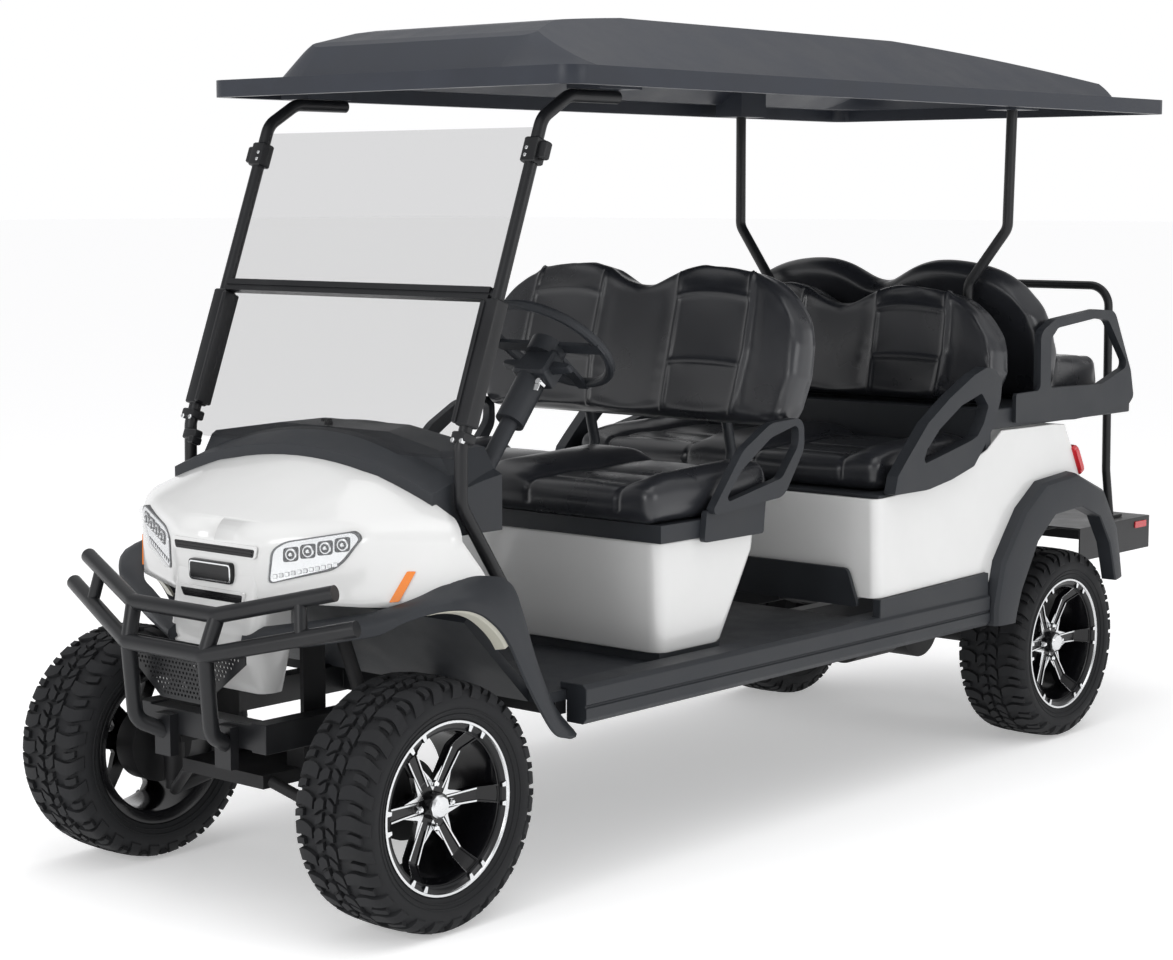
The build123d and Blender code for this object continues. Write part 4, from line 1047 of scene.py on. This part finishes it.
def strut_block(shape, side, z0, z1, across, deep, outward=0, rearward=0):
    """A block around a strut between two heights, with softened ends."""
    stack = []
    for z, shrink in ((z0, 2.5), (z0 + 3, 0), (z1 - 3, 0), (z1, 2.5)):
        stack.append([at_cal(side * (STRUT_X + outward + u * (1 - shrink / across)),
                             strut_point(z) + rearward + v * (1 - shrink / deep) * cos(STRUT_LEAN),
                             z - v * (1 - shrink / deep) * sin(STRUT_LEAN))
                      for u, v in rounded(wedge(across, -deep, across, deep), 4, 2)])
    shape.rings(stack)


def build_screen_fittings():
    """Grooved hinge bar, the box sleeves on the struts, two-bolt clips, latches and the upper catches."""
    bar = Shape()
    bar.rings([[at_cal(x, strut_point(HINGE_Z) + n * cos(STRUT_LEAN) + v * sin(STRUT_LEAN),
                       HINGE_Z - n * sin(STRUT_LEAN) + v * cos(STRUT_LEAN)) for n, v in HINGE_SECTION]
               for x in (-HINGE_HALF, HINGE_HALF)])
    bar.piece("hinge_cover", ["tube"], "frame_steel", smooth=30)
    for side, name in SIDES:
        shape = Shape()
        for sizes in SLEEVES:
            strut_block(shape, side, *sizes)
        for turn in (-1, 1):
            bolt = (STRUT_X + turn * CLIP_BOLT, strut_point(CLIP_Z) - STRUT_FACE, CLIP_Z - 5)
            put = on_plane(bolt, (1, 0, 0), STRUT_UP, side)
            shape.slab(circle(0, 0, 6.5, 6), put, -2, 8, inset=1.5, pick=1)
        for sizes in CATCHES:
            strut_block(shape, side, *sizes)
        catch = (STRUT_X, strut_point(CATCH_Z) - STRUT_FACE, CATCH_Z)
        put = on_plane(catch, (1, 0, 0), STRUT_UP, side)
        for v in (CATCH_BOLT, -CATCH_BOLT):
            shape.slab(circle(-8, v, 5, 10), put, 0, 5, inset=1.2, pick=1)
        for sizes in LATCHES if side < 0 else ():
            strut_block(shape, side, *sizes)
        shape.piece(f"screen_fittings_{name}", ["tube", "machined"], "frame_steel", smooth=30)
    knob = Shape()
    put = on_plane((-22, 226, 1112), (1, 0, 0), (0, 1, 0))
    knob.slab(circle(0, 0, 11, 12), put, -3, 7, inset=2)
    knob.slab(rounded([(-20, -8), (6, -8), (6, 8), (-20, 8)], 4), put, 5, 13, inset=2)
    knob.piece("screen_latch", ["tube"], "black_plastic", smooth=30)


def build_trim():
    """Column shroud with its stalks and key, the reflectors and lenses of the tail, and the toe panel."""
    shape = Shape()
    put = on_plane(SHROUD_PLACE, (1, 0, 0), (0, cos(COLUMN_TILT), sin(COLUMN_TILT)))
    shape.slabs(put, ([(-52, -42), (60, -42), (50, 44), (-44, 44)], 14, -34, 26, 8, 0),
                ([(40, -20), (112, -8), (112, 6), (40, 14)], 6, -8, 12, 4, 0),
                ([(-112, -6), (-40, -20), (-40, 14), (-112, 8)], 6, -8, 12, 4, 0))
    key = on_plane(KEY_PLACE, (1, 0, 0), (0, 0.5, 0.86))
    shape.slab(circle(0, 0, 10, 14), key, -10, 12, inset=2, pick=1)
    shape.slab(rounded([(-12, -26), (8, -26), (9, -6), (-9, -6)], 4), key, 8, 11, inset=1, pick=1)
    shape.piece("column_shroud", ["moulded", "chrome"], "black_plastic", smooth=30)
    for side, name in SIDES:
        trim = Shape()
        put = on_plane(REFLECTOR_PLACE, (0, 1, 0), (0, 0, 1), side)
        trim.slab(rounded(wedge(38, -11, 38, 11), 4), put, -2, 4, inset=1.2)
        put = on_plane((599, 0, 0), (0, 1, 0), (0, 0, 1), side)
        lens = rounded(TAIL_LENS, 9)
        trim.slab(lens, put, -8, 10, inset=6)
        trim.slab(shrunk(lens, 12), put, 9, 13, inset=3)
        trim.piece(f"side_reflector_{name}", ["red"], "lamp_red", smooth=30)
    toe = Shape()
    put = on_plane(TOE_PLACE, (1, 0, 0), (0, -0.03, 1))
    toe.slab(rounded(wedge(553, 534, 517, 640), 16), put, -6, 4, inset=2)
    toe.piece("toe_panel", ["moulded"], "black_plastic", smooth=30)


# ---------------------------------------------------------------- stage
CAMERA_PLACE = Vector((4.3778, -5.4838, 1.6628))
CAMERA_YAW, CAMERA_PITCH = radians(-40.99), radians(6.59)
CAMERA_LENS, CAMERA_SENSOR = 75.04, 36
FLOOR_HALF = 150
# height on the sky's sphere and its brightness: white up to the horizon, dimmer above, bright again overhead
SKY = ((0.0, 1.0), (0.20, 1.0), (0.30, 0.32), (0.85, 0.80))
# name, place, target, size and power of the soft lamps
LAMPS = (("overhead", (0.5, -0.5, 5.5), (0, 0, 0.8), (5, 7), 108),
         ("front_soft", (0.5, -7.5, 3.0), (0, -1, 0.8), (3, 2), 105),
         ("side_soft", (7.0, 0.5, 2.8), (0, 0.5, 0.8), (4, 2), 62))


def look(direction):
    """Rotation of a camera or lamp that faces along a direction."""
    return direction.to_track_quat("-Z", "Y").to_euler()


def add_camera():
    data = bpy.data.cameras.new("camera")
    data.lens = CAMERA_LENS
    data.sensor_width = CAMERA_SENSOR
    camera = link_object("camera", data)
    camera.location = CAMERA_PLACE
    camera.rotation_euler = look(Vector((sin(CAMERA_YAW) * cos(CAMERA_PITCH),
                                         cos(CAMERA_YAW) * cos(CAMERA_PITCH), -sin(CAMERA_PITCH))))
    bpy.context.scene.camera = camera


def add_floor():
    """A wide white floor that fades into the white surroundings."""
    mesh = bpy.data.meshes.new("floor")
    corners = [(x * FLOOR_HALF, y * FLOOR_HALF, 0) for x, y in ((-1, -1), (1, -1), (1, 1), (-1, 1))]
    mesh.from_pydata(corners, [], [(0, 1, 2, 3)])
    mesh.materials.append(new_material("floor_white", (0.94, 0.94, 0.94), 0.95, Specular_IOR_Level=0.0,
                                       Emission_Strength=0.34, Emission_Color=(1, 1, 1, 1)))
    link_object("floor", mesh)


def add_lights():
    """White surroundings near the horizon, dimmer above it, and three large soft lamps."""
    world = bpy.data.worlds.new("studio")
    bpy.context.scene.world = world
    world.use_nodes = True
    tree = world.node_tree
    place = tree.nodes.new("ShaderNodeTexCoord")
    split = tree.nodes.new("ShaderNodeSeparateXYZ")
    tree.links.new(place.outputs["Generated"], split.inputs["Vector"])
    ramp = tree.nodes.new("ShaderNodeValToRGB")
    stops = ramp.color_ramp.elements
    while len(stops) < len(SKY):
        stops.new(0.5)
    for stop, (where, share) in zip(stops, SKY):
        stop.position = where
        stop.color = (share, share, share * 1.01, 1)
    tree.links.new(split.outputs["Z"], ramp.inputs["Fac"])
    tree.links.new(ramp.outputs["Color"], tree.nodes["Background"].inputs["Color"])
    for name, place, target, size, power in LAMPS:
        data = bpy.data.lights.new(name, "AREA")
        data.shape = "RECTANGLE"
        data.size, data.size_y = size
        data.energy = power
        lamp = link_object(name, data)
        lamp.location = place
        lamp.rotation_euler = look(Vector(target) - Vector(place))


add_camera()
add_floor()
add_lights()
bpy.context.scene.view_settings.view_transform = "Standard"
dress_nodes()
soften_nodes()
build_wheels()
build_seats()
build_lamps()
build_nose_trim()
build_nose_screen()
build_bonnet()
build_pods()
build_flares()
build_screen_fittings()
build_trim()

bpy.context.view_layer.update()
